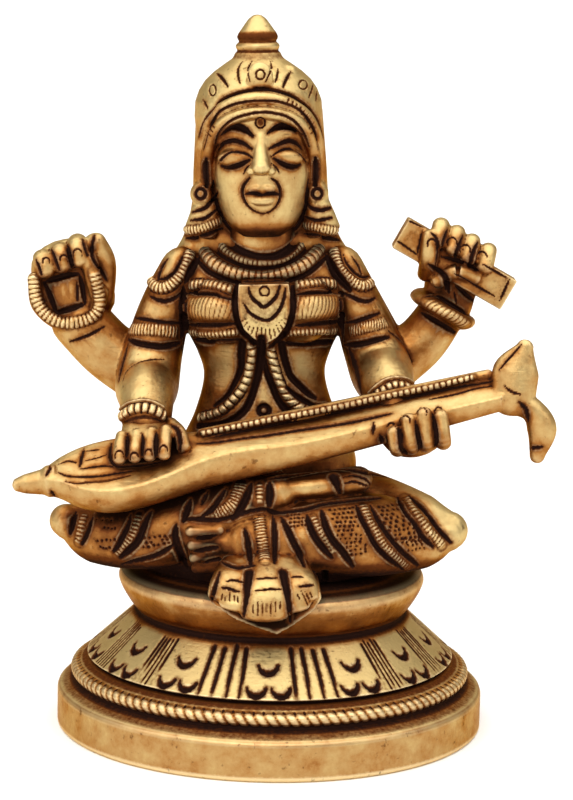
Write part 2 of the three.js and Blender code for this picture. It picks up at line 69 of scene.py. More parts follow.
# Plinth and cushion of cast brass: a thick disc, a rope ring on its shoulder, a cone of lotus
# petals and a plump round cushion, all turned about one axis. The crescents on the petals and
# the grooves between them are chisel work.

DISC_RADIUS = 34.4
ROPE_RADIUS = 31.2
ROPE_HEIGHT = 8.9
ROPE_GIRTH = 1.05
CONE_FOOT = (29.6, 11.5)
CONE_TOP = (22.4, 18.1)
SEAT_HEIGHT = 26.1
# Degrees round from the front, a little wider apart beside the front petal and the back one
PETAL_ANGLES = [0, 30, 54, 78, 102, 126, 150, 180, -150, -126, -102, -78, -54, -30]
PETAL_HALF_ANGLE = 8.6
STRANDS = 126
MOST_TRIANGLES = 196000
# A groove's depth for its width, its greatest depth, and the soot that lies beside it
DEPTH_FOR_WIDTH = 0.7
DEEPEST = 0.85
HALO_SOOT = 0.42
HALO_SPREAD = 0.4
# The soot at the foot of a raised band
FOOT_SOOT = 0.45
FOOT_SPREAD = 0.3
# The skin eased, to tell high edges from hollows, and the soot smeared over the skin round it
EASING = 0.6
EASING_PASSES = 10
SMEAR_PASSES = 22
SMEAR_DULLS = 0.45
SMEAR_DEEPENS = 0.07


def spline(points, shares):
    """Places on the smooth line through points, where share 0 is its first point and 1 its last."""
    points = np.array(points, float)
    ghost = np.vstack([2 * points[0] - points[1], points, 2 * points[-1] - points[-2]])
    spans = len(points) - 1
    at = np.clip(np.asarray(shares, float) * spans, 0, spans)
    first = np.minimum(at.astype(int), spans - 1)
    u = (at - first)[:, None]
    a, b, c, d = (ghost[first + k] for k in range(4))
    ab, bc, cd = (
        np.maximum(np.sqrt(np.linalg.norm(q - p, axis=1)), 1e-3)[:, None]
        for p, q in ((a, b), (b, c), (c, d))
    )
    leave = ((b - a) / ab - (c - a) / (ab + bc) + (c - b) / bc) * bc
    arrive = ((c - b) / bc - (d - b) / (bc + cd) + (d - c) / cd) * bc
    return b + leave * u + (3 * (c - b) - 2 * leave - arrive) * u**2 + (2 * (b - c) + leave + arrive) * u**3


def close_points(points, step=0.3):
    """The smooth line through points, with a point about every step mm."""
    points = np.array(points, float)
    if len(points) < 2:
        return points
    length = np.linalg.norm(np.diff(points[:, :3], axis=0), axis=1).sum()
    return spline(points, np.linspace(0, 1, max(int(length / step), 2) + 1))


def nearest_on(line, spots):
    """How far each spot is from a line, and how far along the line its nearest place lies."""
    if len(line) == 1:
        return np.linalg.norm(spots - line[0], axis=1), np.zeros(len(spots)), np.zeros(len(spots), int)
    spans = np.diff(line, axis=0)
    lengths = np.maximum(np.linalg.norm(spans, axis=1), 1e-6)
    run = np.concatenate([[0], np.cumsum(lengths)])
    offsets = spots[:, None] - line[None, :-1]
    share = np.clip(np.einsum("nsk,sk->ns", offsets, spans) / lengths**2, 0, 1)
    gaps = np.linalg.norm(offsets - share[..., None] * spans, axis=2)
    best = gaps.argmin(axis=1)
    rows = np.arange(len(spots))
    return gaps[rows, best], run[best] + share[rows, best] * lengths[best], best


def chisel_widths(line, width):
    """A chisel enters and leaves the wax gently, so an open stroke is narrower at both ends."""
    if len(line) < 3 or np.linalg.norm(line[0, :3] - line[-1, :3]) < 0.4:
        return np.full(len(line), width)
    run = np.concatenate([[0], np.cumsum(np.linalg.norm(np.diff(line[:, :3], axis=0), axis=1))])
    to_end = np.minimum(run, run[-1] - run) / min(run[-1] * 0.35, 2.4)
    return width * (0.35 + 0.65 * np.clip(to_end, 0, 1) ** 0.6)


def read_rows(items, label, width=3, kind=float):
    """One property of all of a mesh's vertices or edges, with a row for each of them."""
    values = np.empty(len(items) * width, kind)
    items.foreach_get(label, values)
    return values.reshape(-1, width)


def neighbour_sum(values, start, end):
    """At each vertex, the sum of its neighbours' values. Start and end are the ends of the edges."""
    return np.bincount(start, values[end], len(values)) + np.bincount(end, values[start], len(values))


def keep_on(mesh, label, values):
    """A value at each vertex, kept on the mesh under the label that the brass reads."""
    layer = mesh.attributes.new(label, "FLOAT", "POINT")
    layer.data.foreach_set("value", values.astype(np.float32))


class Casting:
    """A region of the casting: points on its skin, and how far each is cut, raised, sooted, or made dull and
    shaded.
    """

    def __init__(self, name, mesh, shade_and_grime=1.0):
        self.name = name
        self.shade_and_grime = shade_and_grime
        self.mesh = mesh
        self.spots = read_rows(mesh.vertices, "co")
        self.normals = read_rows(mesh.vertex_normals, "vector")
        self.cut, self.rise, self.soot, self.dull_and_shade = np.zeros((4, len(mesh.vertices)))
        wax = bmesh.new()
        wax.from_mesh(mesh)
        self.tree = BVHTree.FromBMesh(wax)
        wax.free()

    def seen(self, points, depth, upright=Matrix()):
        """A line drawn on an upright plane at a depth, brought to the skin along the line of sight."""
        line = []
        for point in close_points(points):
            sight = (upright @ Vector((point[0], depth, point[1])) - EYE).normalized()
            spot = self.tree.ray_cast(EYE, sight)[0]
            if spot is not None:
                line.append((*spot, *point[2:]))
        return np.array(line)

    def near(self, points, upright=Matrix()):
        """A line given in space, brought to the nearest skin."""
        return np.array([(*self.tree.find_nearest(upright @ Vector(point[:3]))[0], *point[3:])
                         for point in close_points(points)])

    def close_to(self, line, reach):
        """The points of the skin in a box round a line."""
        low, high = line.min(axis=0) - reach, line.max(axis=0) + reach
        return np.flatnonzero(np.all((self.spots > low) & (self.spots < high), axis=1))

    def groove(self, line, width=0.5, depth=None, soot=1.0):
        """A chiselled groove. A fourth figure in the line's points is its own width there."""
        if len(line) == 0:
            return
        widths = line[:, 3] if line.shape[1] > 3 else chisel_widths(line, width)
        line = line[:, :3]
        widest = widths.max()
        near = self.close_to(line, widest / 2 + 1.0)
        gaps, _, at = nearest_on(line, self.spots[near])
        half = widths[at] / 2
        inside = np.clip(1 - (gaps / half) ** 2, 0, 1)
        deep = np.minimum(widths[at] * DEPTH_FOR_WIDTH, DEEPEST) if depth is None else depth
        self.cut[near] = np.maximum(self.cut[near], deep * inside)
        core = np.clip((1.25 - gaps / half) * 2, 0, 1)
        halo = HALO_SOOT * np.exp(-(np.maximum(gaps - half, 0) / HALO_SPREAD) ** 2) * min(widest / 0.7, 1)
        self.soot[near] = np.maximum(self.soot[near], soot * np.maximum(core, halo))

    def ridge(self, line, width, rise, pitch=0, slit=0.3, slit_depth=0.3, slant=0.0, soot=0.55):
        """A raised band or cord along a line, parted by slits a pitch apart."""
        if len(line) < 2:
            return
        line = line[:, :3]
        near = self.close_to(line, width / 2 + 0.8)
        gaps, run, at = nearest_on(line, self.spots[near])
        to_end = np.minimum(run, run.max() - run)
        inside = np.clip(1 - (2 * gaps / width) ** 2, 0, 1)
        rounded = np.clip(to_end / (width * 0.4), 0, 1)
        self.rise[near] = np.maximum(self.rise[near], rise * np.sqrt(inside * rounded))
        foot = FOOT_SOOT * np.exp(-((gaps - width * 0.52) / FOOT_SPREAD) ** 2)
        self.soot[near] = np.maximum(self.soot[near], foot)
        if pitch:
            ahead = np.diff(line, axis=0)[at]
            side = np.cross(ahead, self.normals[near])
            hand = np.sign(np.einsum("nk,nk->n", self.spots[near] - line[at], side))
            place = (run + slant * hand * gaps) / pitch
            between = np.abs(place - np.round(place)) * pitch
            slits = np.clip(1 - (between / slit * 2) ** 2, 0, 1) * (inside > 0.02) * (to_end > slit)
            self.cut[near] = np.maximum(self.cut[near], slits * slit_depth)
            self.soot[near] = np.maximum(self.soot[near], slits * soot)

    def finish(self):
        """The cuts and ridges moved into the skin, in metres, with what the patina reads."""
        spots = self.spots + self.normals * (self.rise - self.cut)[:, None]
        start, end = read_rows(self.mesh.edges, "vertices", 2, int).T
        degree = neighbour_sum(np.ones(len(spots)), start, end)
        eased = spots
        for _ in range(EASING_PASSES):
            total = np.stack([neighbour_sum(eased[:, k], start, end) for k in range(3)], axis=1)
            eased = eased * (1 - EASING) + EASING * total / np.maximum(degree, 1)[:, None]
        smear = self.soot
        for _ in range(SMEAR_PASSES):
            smear = (smear + neighbour_sum(smear, start, end)) / (1 + degree)
        self.dull_and_shade += SMEAR_DULLS * smear
        hollow = np.einsum("nk,nk->n", eased - spots, self.normals) + SMEAR_DEEPENS * smear
        self.mesh.vertices.foreach_set("co", (spots * MM).ravel())
        self.mesh.update()
        for label, values in (("soot", self.soot), ("dull_and_shade", self.dull_and_shade), ("hollow", hollow)):
            keep_on(self.mesh, label, values)
        piece = bpy.data.objects.new(self.name, self.mesh)
        bpy.context.scene.collection.objects.link(piece)
        triangles = sum(len(polygon.vertices) - 2 for polygon in self.mesh.polygons)
        if triangles > MOST_TRIANGLES:
            thin = piece.modifiers.new("thin", "DECIMATE")
            thin.ratio = MOST_TRIANGLES / triangles
            depsgraph = bpy.context.evaluated_depsgraph_get()
            piece.data = bpy.data.meshes.new_from_object(piece.evaluated_get(depsgraph))
            piece.modifiers.clear()
            self.mesh = piece.data
        self.mesh.materials.append(patinated_brass)
        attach(piece, "root")
        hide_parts("brass_casting")


def linear(hex_colour):
    """An sRGB hex colour as the linear colour a shader takes."""
    parts = [int(hex_colour[i : i + 2], 16) / 255 for i in (1, 3, 5)]
    return [p / 12.92 if p <= 0.04045 else ((p + 0.055) / 1.055) ** 2.4 for p in parts] + [1.0]


def add_node(tree, kind, settings=None, inputs=None):
    """A shader node with its settings, and a value or a link for each of its inputs."""
    node = tree.nodes.new(kind)
    for name, value in (settings or {}).items():
        setattr(node, name, value)
    for name, value in (inputs or {}).items():
        if isinstance(value, bpy.types.NodeSocket):
            tree.links.new(value, node.inputs[name])
        else:
            node.inputs[name].default_value = value
    return node


# Cast brass, chiselled, washed with a dark oxide and rubbed: cream gold on the high edges, gold
# on the open skin, brown where the rag hardly reached and where shade is painted into the hollows
# and undersides, black and dull in the cuts, with file marks and casting pits. The oxide is a film
# on the metal, so all of it is metallic, and it takes the glare off what is seen edge-on. Real grit
# is about 0.2 mm and is drawn coarser.
CLOUD_SIZE = 3.571 * MM
GRIT_SIZE = 0.5882 * MM
PIT_SIZE = 0.8696 * MM
FILE_STROKE = (4 * MM, 4 * MM, 0.2381 * MM)
GRIT_HEIGHT = 0.14 * MM
patinated_brass = bpy.data.materials.new("rubbed_brass_with_oxide_and_painted_shade")
patinated_brass.use_nodes = True


def paint_brass(tree):
    """The nodes of the brass. Soot, hollow, painted shade, and the patches of dullness and painted shade are
    kept on the casting's vertices.
    """
    shader = tree.nodes["Principled BSDF"]
    place = add_node(tree, "ShaderNodeTexCoord").outputs["Object"]
    soot, hollow, shade, patchy_dull_and_shade = (
        add_node(tree, "ShaderNodeAttribute", {"attribute_name": label}).outputs["Fac"]
        for label in ("soot", "hollow", "shade", "dull_and_shade")
    )
    cloud, grit, speck = (
        add_node(tree, "ShaderNodeTexNoise", None,
                 {"Vector": place, "Scale": 1 / size, "Detail": detail, "Roughness": rough}).outputs["Fac"]
        for size, detail, rough in ((CLOUD_SIZE, 7.0, 0.65), (GRIT_SIZE, 3.0, 0.5), (PIT_SIZE, 2.0, 0.5))
    )
    filed = add_node(tree, "ShaderNodeMapping", None,
                     {"Vector": place, "Scale": [1 / size for size in FILE_STROKE]}).outputs[0]
    strokes = add_node(tree, "ShaderNodeTexNoise", None,
                       {"Vector": filed, "Scale": 1.0, "Detail": 2.0}).outputs["Fac"]

    # Painted shade, the patches of dullness and painted shade, and clouds together say how little the rag
    # reached and how shaded the skin is painted
    shade_and_patches = add_node(tree, "ShaderNodeMath", {"operation": "ADD"}, {0: shade, 1: patchy_dull_and_shade}).outputs[0]
    dull_and_shade = add_node(tree, "ShaderNodeMath", {"operation": "MULTIPLY_ADD"},
                    {0: cloud, 1: 0.55, 2: shade_and_patches}).outputs[0]

    # Black oxide in the cuts and the sharp hollows, ragged at its edge
    dip = add_node(tree, "ShaderNodeMapRange", None,
                   {"Value": hollow, "From Min": 0.03, "From Max": 0.15}).outputs[0]
    stain = add_node(tree, "ShaderNodeMath", {"operation": "MAXIMUM"}, {0: soot, 1: dip}).outputs[0]
    ragged = add_node(tree, "ShaderNodeMath", {"operation": "MULTIPLY_ADD"},
                      {0: grit, 1: 0.6, 2: stain}).outputs[0]

    # Casting pits, thick in some patches, hold a little oxide
    pitted = add_node(tree, "ShaderNodeMath", {"operation": "MULTIPLY_ADD"},
                      {0: cloud, 1: 0.45, 2: speck}).outputs[0]

    # Each film in turn lies on what is under it: what it follows, where it starts, where it is full
    shares = {}
    colour = linear("#CFB378")
    # The first three films follow the dullness, and so also paint the shade that it holds
    for film, follows, start, full, most, tone in (
        ("rubbed", dull_and_shade, 0.32, 0.62, 1.0, "#A66F36"),
        ("brown_and_shaded", dull_and_shade, 0.56, 0.82, 1.0, "#6E3C1C"),
        ("unrubbed_and_shaded", dull_and_shade, 0.78, 1.05, 1.0, "#2E1A10"),
        ("high edge", hollow, -0.035, -0.18, 1.0, "#E6CC9A"),
        ("brown", ragged, 0.42, 0.85, 1.0, "#6A391A"),
        ("black", ragged, 0.85, 1.2, 1.0, "#34201A"),
        ("pitted", pitted, 0.885, 1.0, 0.6, "#4E2C17"),
    ):
        share = add_node(tree, "ShaderNodeMapRange", None,
                         {"Value": follows, "From Min": start, "From Max": full, "To Max": most}).outputs[0]
        # A high edge shows less where the rag hardly reached and where shade is painted
        if film == "high edge":
            less = add_node(tree, "ShaderNodeMath", {"operation": "MULTIPLY_ADD"},
                            {0: shares["brown_and_shaded"], 1: -0.4, 2: 1.0}).outputs[0]
            share = add_node(tree, "ShaderNodeMath", {"operation": "MULTIPLY"},
                             {0: share, 1: less}).outputs[0]
        shares[film] = share
        colour = add_node(tree, "ShaderNodeMix", {"data_type": "RGBA"},
                          {0: share, 6: colour, 7: linear(tone)}).outputs[2]
    tree.links.new(colour, shader.inputs["Base Color"])
    shader.inputs["Metallic"].default_value = 1.0
    shader.inputs["Specular Tint"].default_value = linear("#E6C8A8")
    # The thicker the oxide, the rougher; grit and file marks are felt all over
    crust = add_node(tree, "ShaderNodeMath", {"operation": "MAXIMUM"},
                     {0: ragged, 1: shares["unrubbed_and_shaded"]}).outputs[0]
    rough = add_node(tree, "ShaderNodeMapRange", None, {
        "Value": crust, "From Min": 0.2, "From Max": 0.9, "To Min": 0.36, "To Max": 0.8,
    }).outputs[0]
    tree.links.new(rough, shader.inputs["Roughness"])
    relief = add_node(tree, "ShaderNodeMath", {"operation": "MULTIPLY_ADD"},
                      {0: strokes, 1: 0.5, 2: grit}).outputs[0]
    bump = add_node(tree, "ShaderNodeBump", None,
                    {"Strength": 0.35, "Distance": GRIT_HEIGHT, "Height": relief}).outputs[0]
    tree.links.new(bump, shader.inputs["Normal"])


paint_brass(patinated_brass.node_tree)


def turned(wax, profile, turns, place=Matrix()):
    """A round form about an axis, from [radius, height] points that start and end on the axis."""
    rows = len(profile) - 1
    form = bmesh.ops.create_grid(wax, x_segments=turns, y_segments=rows, size=1)["verts"]
    for vert in form:
        radius, height = profile[round((vert.co.y + 1) / 2 * rows)]
        turn = (vert.co.x + 1) * math.pi
        vert.co = place @ Vector((radius * math.cos(turn), radius * math.sin(turn), height))
    bmesh.ops.remove_doubles(wax, verts=form, dist=1e-3)


def plinth_profile():
    """[radius, height] from the middle of the underside up to the middle of the seat."""
    rope = [(ROPE_RADIUS + ROPE_GIRTH * math.cos(a), ROPE_HEIGHT + ROPE_GIRTH * math.sin(a))
            for a in np.radians([-75, -50, -20, 10, 40, 70, 95])]
    cushion = [tuple(spot) for spot in spline(
        [(21.7, 19.0), (22.5, 19.9), (23.5, 21.4), (24.35, 23.0), (24.65, 24.2), (24.1, 25.3), (22.8, 25.9),
         (20.6, SEAT_HEIGHT)], np.linspace(0, 1, 31))]
    corners = [
        (34.0, 0.0), (DISC_RADIUS, 0.4), (DISC_RADIUS, 5.6), (DISC_RADIUS - 0.15, 6.05), (33.9, 6.4),
        (33.0, 6.75), (32.1, 7.2), (31.4, 7.5), *rope, (30.3, 10.3), (29.8, 10.6), (28.6, 10.75),
        (28.3, 11.0), (29.2, 11.25), CONE_FOOT, CONE_TOP, (21.8, 18.4), (21.5, 18.75), *cushion,
    ]
    step = 0.27
    rows = []
    for (r0, z0), (r1, z1) in zip(corners, corners[1:]):
        count = max(1, round(math.dist((r0, z0), (r1, z1)) / step))
        rows += [(r0 + (r1 - r0) * i / count, z0 + (z1 - z0) * i / count) for i in range(count)]
    inner = [(17, SEAT_HEIGHT), (10, SEAT_HEIGHT), (0, SEAT_HEIGHT)]
    return [(0, 0), (12, 0), (24, 0), (31, 0)] + rows + [corners[-1]] + inner


plinth_wax = bmesh.new()
turned(plinth_wax, plinth_profile(), 660)
bmesh.ops.recalc_face_normals(plinth_wax, faces=plinth_wax.faces)
for face in plinth_wax.faces:
    face.smooth = True
plinth_skin = bpy.data.meshes.new("lotus_plinth")
plinth_wax.to_mesh(plinth_skin)
plinth_wax.free()
plinth = Casting("lotus_plinth", plinth_skin, shade_and_grime=0.35)


def petal_spot(degrees, up, width=None):
    """A place on the petals' cone: degrees round from the front, and its share of the way up."""
    radius = CONE_FOOT[0] + (CONE_TOP[0] - CONE_FOOT[0]) * up
    height = CONE_FOOT[1] + (CONE_TOP[1] - CONE_FOOT[1]) * up
    turn = math.radians(degrees)
    spot = (radius * math.sin(turn), -radius * math.cos(turn), height)
    return spot if width is None else (*spot, width)


def crescent(middle, foot, half, sag):
    """A smile-shaped chisel cut, deepest in its middle."""
    return [petal_spot(middle + half * s, foot + sag * (1 - math.sqrt(1 - (0.93 * s) ** 2)) / 0.63,
                       1.15 - 0.75 * s * s) for s in np.linspace(-1, 1, 13)]


for here, ahead in zip(PETAL_ANGLES, PETAL_ANGLES[1:] + PETAL_ANGLES[:1]):
    wobble = random.uniform(-0.4, 0.4)
    for middle, foot, half in ((here + wobble, 0.49, 3.5), (here - 3.7, 0.07, 3.0), (here + 4.0, 0.07, 3.0)):
        plinth.groove(plinth.near(crescent(middle, foot, half, 0.15)))
    gap = (ahead - here) % 360 - 2 * PETAL_HALF_ANGLE
    count = 4 if gap > 9 else 5
    widest = 0.75 if gap > 9 else 0.42
    for i in range(count):
        angle = here + PETAL_HALF_ANGLE + gap * i / (count - 1) + random.uniform(-0.2, 0.2)
        top = random.uniform(0.9, 0.98)
        plinth.groove(plinth.near([petal_spot(angle, up, widest * share)
                                   for up, share in ((0.03, 0.35), (0.4, 0.7), (top, 1))]))

turn = np.arctan2(plinth.spots[:, 0], -plinth.spots[:, 1])
radius = np.hypot(plinth.spots[:, 0], plinth.spots[:, 1])
height = plinth.spots[:, 2]
on_rope = np.clip(1.35 - np.hypot(radius - ROPE_RADIUS, height - ROPE_HEIGHT) / ROPE_GIRTH, 0, 1) > 0.1
strand = np.abs(np.sin(turn * STRANDS / 2 + (height - ROPE_HEIGHT) * 1.1))
plinth.cut[on_rope] = np.maximum(plinth.cut, 0.3 * (1 - strand) ** 2)[on_rope]
plinth.soot[on_rope] = np.maximum(plinth.soot, np.clip(1.0 - 3.4 * strand, 0, 0.55))[on_rope]

# Oxide in the turned hollows, painted shadow on the seat under the legs, and how dull each round of the
# plinth is
DISC_TOP = 6.4
CONE_ZONE = (11.2, 18.4)
CUSHION_FOOT = 18.9
SEAT_RIM = 24.9
CUSHION_TOP = 25.2
for ring_radius, z, dark, spread in (
    (31.9, 7.3, 0.85, 0.7), (33.0, 6.7, 0.42, 0.7), (30.0, 10.4, 0.6, 0.6), (28.4, 10.95, 1.0, 0.8),
    (21.6, 18.75, 1.0, 0.9),
):
    away = np.hypot(radius - ring_radius, height - z)
    plinth.soot = np.maximum(plinth.soot, dark * np.clip(1.5 - away / spread, 0, 1))
# Painted shadow: the top of the seat under the legs is black
plinth.soot = np.maximum(plinth.soot, np.clip((22.8 - radius) / 2.6, 0, 0.95) * (height > SEAT_RIM))
on_cushion = (height > CUSHION_FOOT) & (radius > 18)
up_cushion = height[on_cushion]
# The cushion is darker towards its foot and darkest on its top under the legs, as painted shade
plinth.dull_and_shade[on_cushion] = 0.32 - 0.02 * (up_cushion - CUSHION_FOOT) + 0.45 * (up_cushion > CUSHION_TOP)
plinth.dull_and_shade[height < DISC_TOP] = 0.19
plinth.dull_and_shade[on_rope] = 0.2
# The petals are much brighter, as painted light on faces turned up to it, and darker again just under the
# cushion, as painted shade
on_cone = (height > CONE_ZONE[0]) & (height < CONE_ZONE[1])
plinth.dull_and_shade[on_cone] = -0.6 + 0.7 * np.clip((height[on_cone] - 16) / 2.2, 0, 1)
plinth.finish()

# Crossed legs in pleated cloth: limbs modelled in wax, one laid over the other, cast in the same
# pour of brass and cut with hems, rungs and pits. The cloth's end falls in three lobes over the
# front of the cushion.

LEAN_DEG = -1.76
SHIFT = -0.8
# Takes the figure's own upright frame to where it sits, a little to one side and leaning
SEAT = (Matrix.Translation((SHIFT, 0, SEAT_HEIGHT - 0.1)) @ Matrix.Rotation(math.radians(LEAN_DEG), 4, "Y")
        @ Matrix.Translation((0, 0, -26)))
CAP_ROWS = 5


def limb(wax, points, radii, across=(1, 0, 0), rings=24, sides=18, ends=1.0):
    """A round-ended limb along points, with a radius or (across, through) at each of them."""
    shares = np.linspace(0, 1, rings + 1)
    centres = spline(points, shares)
    ahead = spline(points, np.minimum(shares + 0.01, 1)) - spline(points, np.maximum(shares - 0.01, 0))
    ahead /= np.linalg.norm(ahead, axis=1)[:, None]
    girths = spline([r if isinstance(r, (tuple, list)) else (r, r) for r in radii], shares)
    reference = np.array(across, float)
    side = reference - ahead * (ahead @ reference)[:, None]
    side /= np.linalg.norm(side, axis=1)[:, None]
    through = np.cross(side, ahead)
    rows = rings + 2 * CAP_ROWS
    for vert in bmesh.ops.create_uvsphere(wax, u_segments=sides, v_segments=rows, radius=1)["verts"]:
        row = round(math.acos(max(-1.0, min(1.0, vert.co.z))) / math.pi * rows) - CAP_ROWS
        nearest = min(max(row, 0), rings)
        turn = (row - nearest) / CAP_ROWS * math.pi / 2
        angle = math.atan2(vert.co.y, vert.co.x)
        wide, deep = girths[nearest]
        vert.co = (centres[nearest] + ahead[nearest] * math.sin(turn) * ends * (wide + deep) / 2
                   + side[nearest] * math.cos(angle) * math.cos(turn) * wide
                   + through[nearest] * math.sin(angle) * math.cos(turn) * deep)


def ball(wax, centre, radii, tilt=(0, 0, 0), sides=24):
    """An ellipsoid, turned by angles in degrees."""
    turn = Euler([math.radians(a) for a in tilt], "ZYX")
    place = Matrix.LocRotScale(Vector(centre), turn, Vector(radii))
    bmesh.ops.create_uvsphere(wax, u_segments=sides, v_segments=sides // 2, radius=1, matrix=place)


def block(wax, centre, size, tilt=(0, 0, 0)):
    """A box, turned in the same way."""
    turn = Euler([math.radians(a) for a in tilt], "ZYX")
    bmesh.ops.create_cube(wax, size=1, matrix=Matrix.LocRotScale(Vector(centre), turn, Vector(size)))


def slab(wax, outline, front, back, lean=0):
    """A plate from its outline across the front. Its front can lean back from the first point up."""
    low = outline[0][1]
    face = wax.faces.new([wax.verts.new((x, front + lean * (z - low), z)) for x, z in outline])
    grown = bmesh.ops.extrude_face_region(wax, geom=[face])["geom"]
    bmesh.ops.translate(wax, verts=[g for g in grown if isinstance(g, bmesh.types.BMVert)],
                        vec=(0, back - front, 0))


def body(wax, rows, sides=48, rings=60):
    """A trunk through flat oval sections: [height, half width, half depth, middle of depth]."""
    sections = spline(rows, np.linspace(0, 1, rings + 1))
    count = rings + 2
    form = bmesh.ops.create_uvsphere(wax, u_segments=sides, v_segments=count, radius=1)["verts"]
    for vert in form:
        row = round(math.acos(max(-1.0, min(1.0, vert.co.z))) / math.pi * count)
        z, wide, deep, middle = sections[min(max(row - 1, 0), rings)]
        out = 0 if row in (0, count) else 1
        angle = math.atan2(vert.co.y, vert.co.x)
        vert.co = (out * math.cos(angle) * wide, middle + out * math.sin(angle) * deep, z)
    return form


def melted(wax, voxel, softening=3, place=SEAT):
    """Overlapping wax forms melted into one skin."""
    bmesh.ops.transform(wax, matrix=place, verts=wax.verts)
    bmesh.ops.recalc_face_normals(wax, faces=wax.faces)
    mesh = bpy.data.meshes.new("wax")
    wax.to_mesh(mesh)
    wax.free()
    piece = bpy.data.objects.new("wax", mesh)
    bpy.context.scene.collection.objects.link(piece)
    melt = piece.modifiers.new("melt", "REMESH")
    melt.mode = "VOXEL"
    melt.voxel_size = voxel * 1
    melt.use_smooth_shade = True
    soften = piece.modifiers.new("soften", "SMOOTH")
    soften.factor = 0.5
    soften.iterations = softening
    skin = bpy.data.meshes.new_from_object(piece.evaluated_get(bpy.context.evaluated_depsgraph_get()))
    bpy.data.objects.remove(piece)
    bpy.data.meshes.remove(mesh)
    return skin


legs_wax = bmesh.new()
body(legs_wax, [(26, 20, 14.6, -2), (32, 21, 14.4, -2.5), (38, 15.5, 12.2, -2), (42, 11, 9.4, -1)])
# Two thighs, then the two shins that cross in front of them
for points, radii, rings in (
    ([(-9, 1, 35.5), (-19, -4.6, 35.0), (-27.0, -8, 34.0), (-31.4, -9, 35.2)], [8.0, 6.0, 5.0, 2.7], 32),
    ([(9, 1, 35.5), (18, -4.6, 35.2), (25.2, -8, 33.6), (28.9, -9, 33.0)], [7.6, 5.8, 4.8, 3.1], 32),
    ([(-30.9, -9.5, 34.9), (-26.8, -9.6, 33.4), (-17, -12.8, 34.2), (-6, -14.2, 38.2), (2, -14.6, 40.6)],
     [(2.7, 2.8), (4.8, 4.6), (5.8, 4.8), (4.8, 4.2), (3.2, 3.6)], 48),
    ([(28.5, -9.5, 32.7), (25.0, -9.6, 32.0), (16, -13.2, 33.4), (5, -16.0, 33.8), (-2.5, -17, 33.2)],
     [(3.0, 3.1), (4.8, 4.7), (6.6, 4.8), (5.6, 4.0), (4.2, 3.2)], 48),
):
    limb(legs_wax, points, radii, (0, 0.4, 1), rings, sides=36)
limb(legs_wax, [(-2.6, -16.0, 32.6), (-10.4, -16.6, 32.4)], [(3.8, 3.2), (3.5, 2.2)], (0, 0, 1), ends=0.5)
for i, z in enumerate((35.4, 33.3, 31.2, 29.6)):
    limb(legs_wax, [(-7, -18.0, z), (-11.4 + i * 0.3, -18.2, z - 0.1)], [1.0, 0.95], rings=8, sides=14)
limb(legs_wax, [(0.5, -14.6, 41.2), (8, -14.4, 41.6), (14.6, -13.2, 42.2)],
     [(2.0, 2.8), (2.1, 2.6), (2.1, 2.4)], (0, 0, 1))
bmesh.ops.transform(legs_wax, matrix=SEAT, verts=legs_wax.verts)
# The cloth's fan: a pointed lining, a shell over it and three lobes
slab(legs_wax, [
    (1.2, 20.8), (3.4, 22.0), (6.6, 24.2), (7.9, 26.0), (7.3, 28.4), (4.6, 30.2), (-6.0, 30.2), (-9.3, 27.8),
    (-9.6, 26.2), (-8.9, 25.0), (-5.2, 22.8), (-1.2, 21.5),
], -25.9, -21.5, lean=0.42)
limb(legs_wax, [(-0.8, -20.4, 30.2), (-0.8, -24.2, 27.6), (-0.8, -25.6, 25.4)],
     [(6.4, 2.2), (7.9, 2.0), (7.0, 1.2)], ends=0.4, sides=40)
for lobe, radii in (
    ([(-5.6, -19.8, 30.2), (-6.3, -23.9, 28.0), (-6.7, -25.0, 26.1)], [(2.4, 1.9), (2.9, 1.9), (2.6, 1.2)]),
    ([(-0.8, -20.4, 30.4), (-0.8, -25.0, 27.4), (-0.8, -26.2, 25.2), (-0.8, -26.3, 23.8)],
     [(2.8, 2.2), (3.6, 2.1), (3.9, 1.6), (3.6, 1.1)]),
    ([(3.5, -19.8, 30.2), (4.5, -23.9, 28.0), (5.1, -25.0, 26.1)], [(2.3, 1.9), (2.7, 1.9), (2.4, 1.2)]),
):
    limb(legs_wax, lobe, radii, ends=0.4, sides=32)
legs = Casting("crossed_legs", melted(legs_wax, 0.24, place=Matrix()), shade_and_grime=1.25)


def upright_spots(casting):
    """The points of a casting's skin, in the figure's own upright frame."""
    upright = np.array(SEAT.inverted())
    return casting.spots @ upright[:3, :3].T + upright[:3, 3]


def rubbing_and_light_patches(casting, patches):
    """Soft patches that the rag reached less, some of them painted shade, or more where below nought, some
    of them painted light: amount, middle and radii.
    """
    spots = upright_spots(casting)
    for amount, middle, radii in patches:
        casting.dull_and_shade += amount * np.exp(-(((spots - middle) / radii) ** 2).sum(axis=1))


def chisel(casting, depth, lines, soot=1.0, upright=SEAT):
    """Grooves cut across the front. Each is its width and then its points.

    The width is None where the points hold their own.
    """
    for width, *points in lines:
        casting.groove(casting.seen(points, depth, upright), width, soot=soot)


def bands(casting, depth, lines, slit=0.28, slit_depth=0.28):
    """Raised bands across the front: width, rise, pitch of the slits, their slant, and then points."""
    for width, rise, pitch, slant, *points in lines:
        casting.ridge(casting.seen(points, depth, SEAT), width, rise, pitch, slit, slit_depth, slant)


# Painted shade on the toes, low on the legs and on the tip of the fan's lining; a painted highlight on the
# right knee; the front of the fan a little brighter
rubbing_and_light_patches(legs, (
    (0.3, (-9.5, -18, 32.5), (3.6, 5, 4.5)), (0.12, (0, -14, 31.5), (24, 10, 4)),
    (-0.25, (30, -10, 34), (4, 6, 4)), (-0.12, (-1, -25, 26.5), (8, 4, 3.5)),
    (0.35, (1.3, -25, 22.2), (5, 5, 1.0)),
))
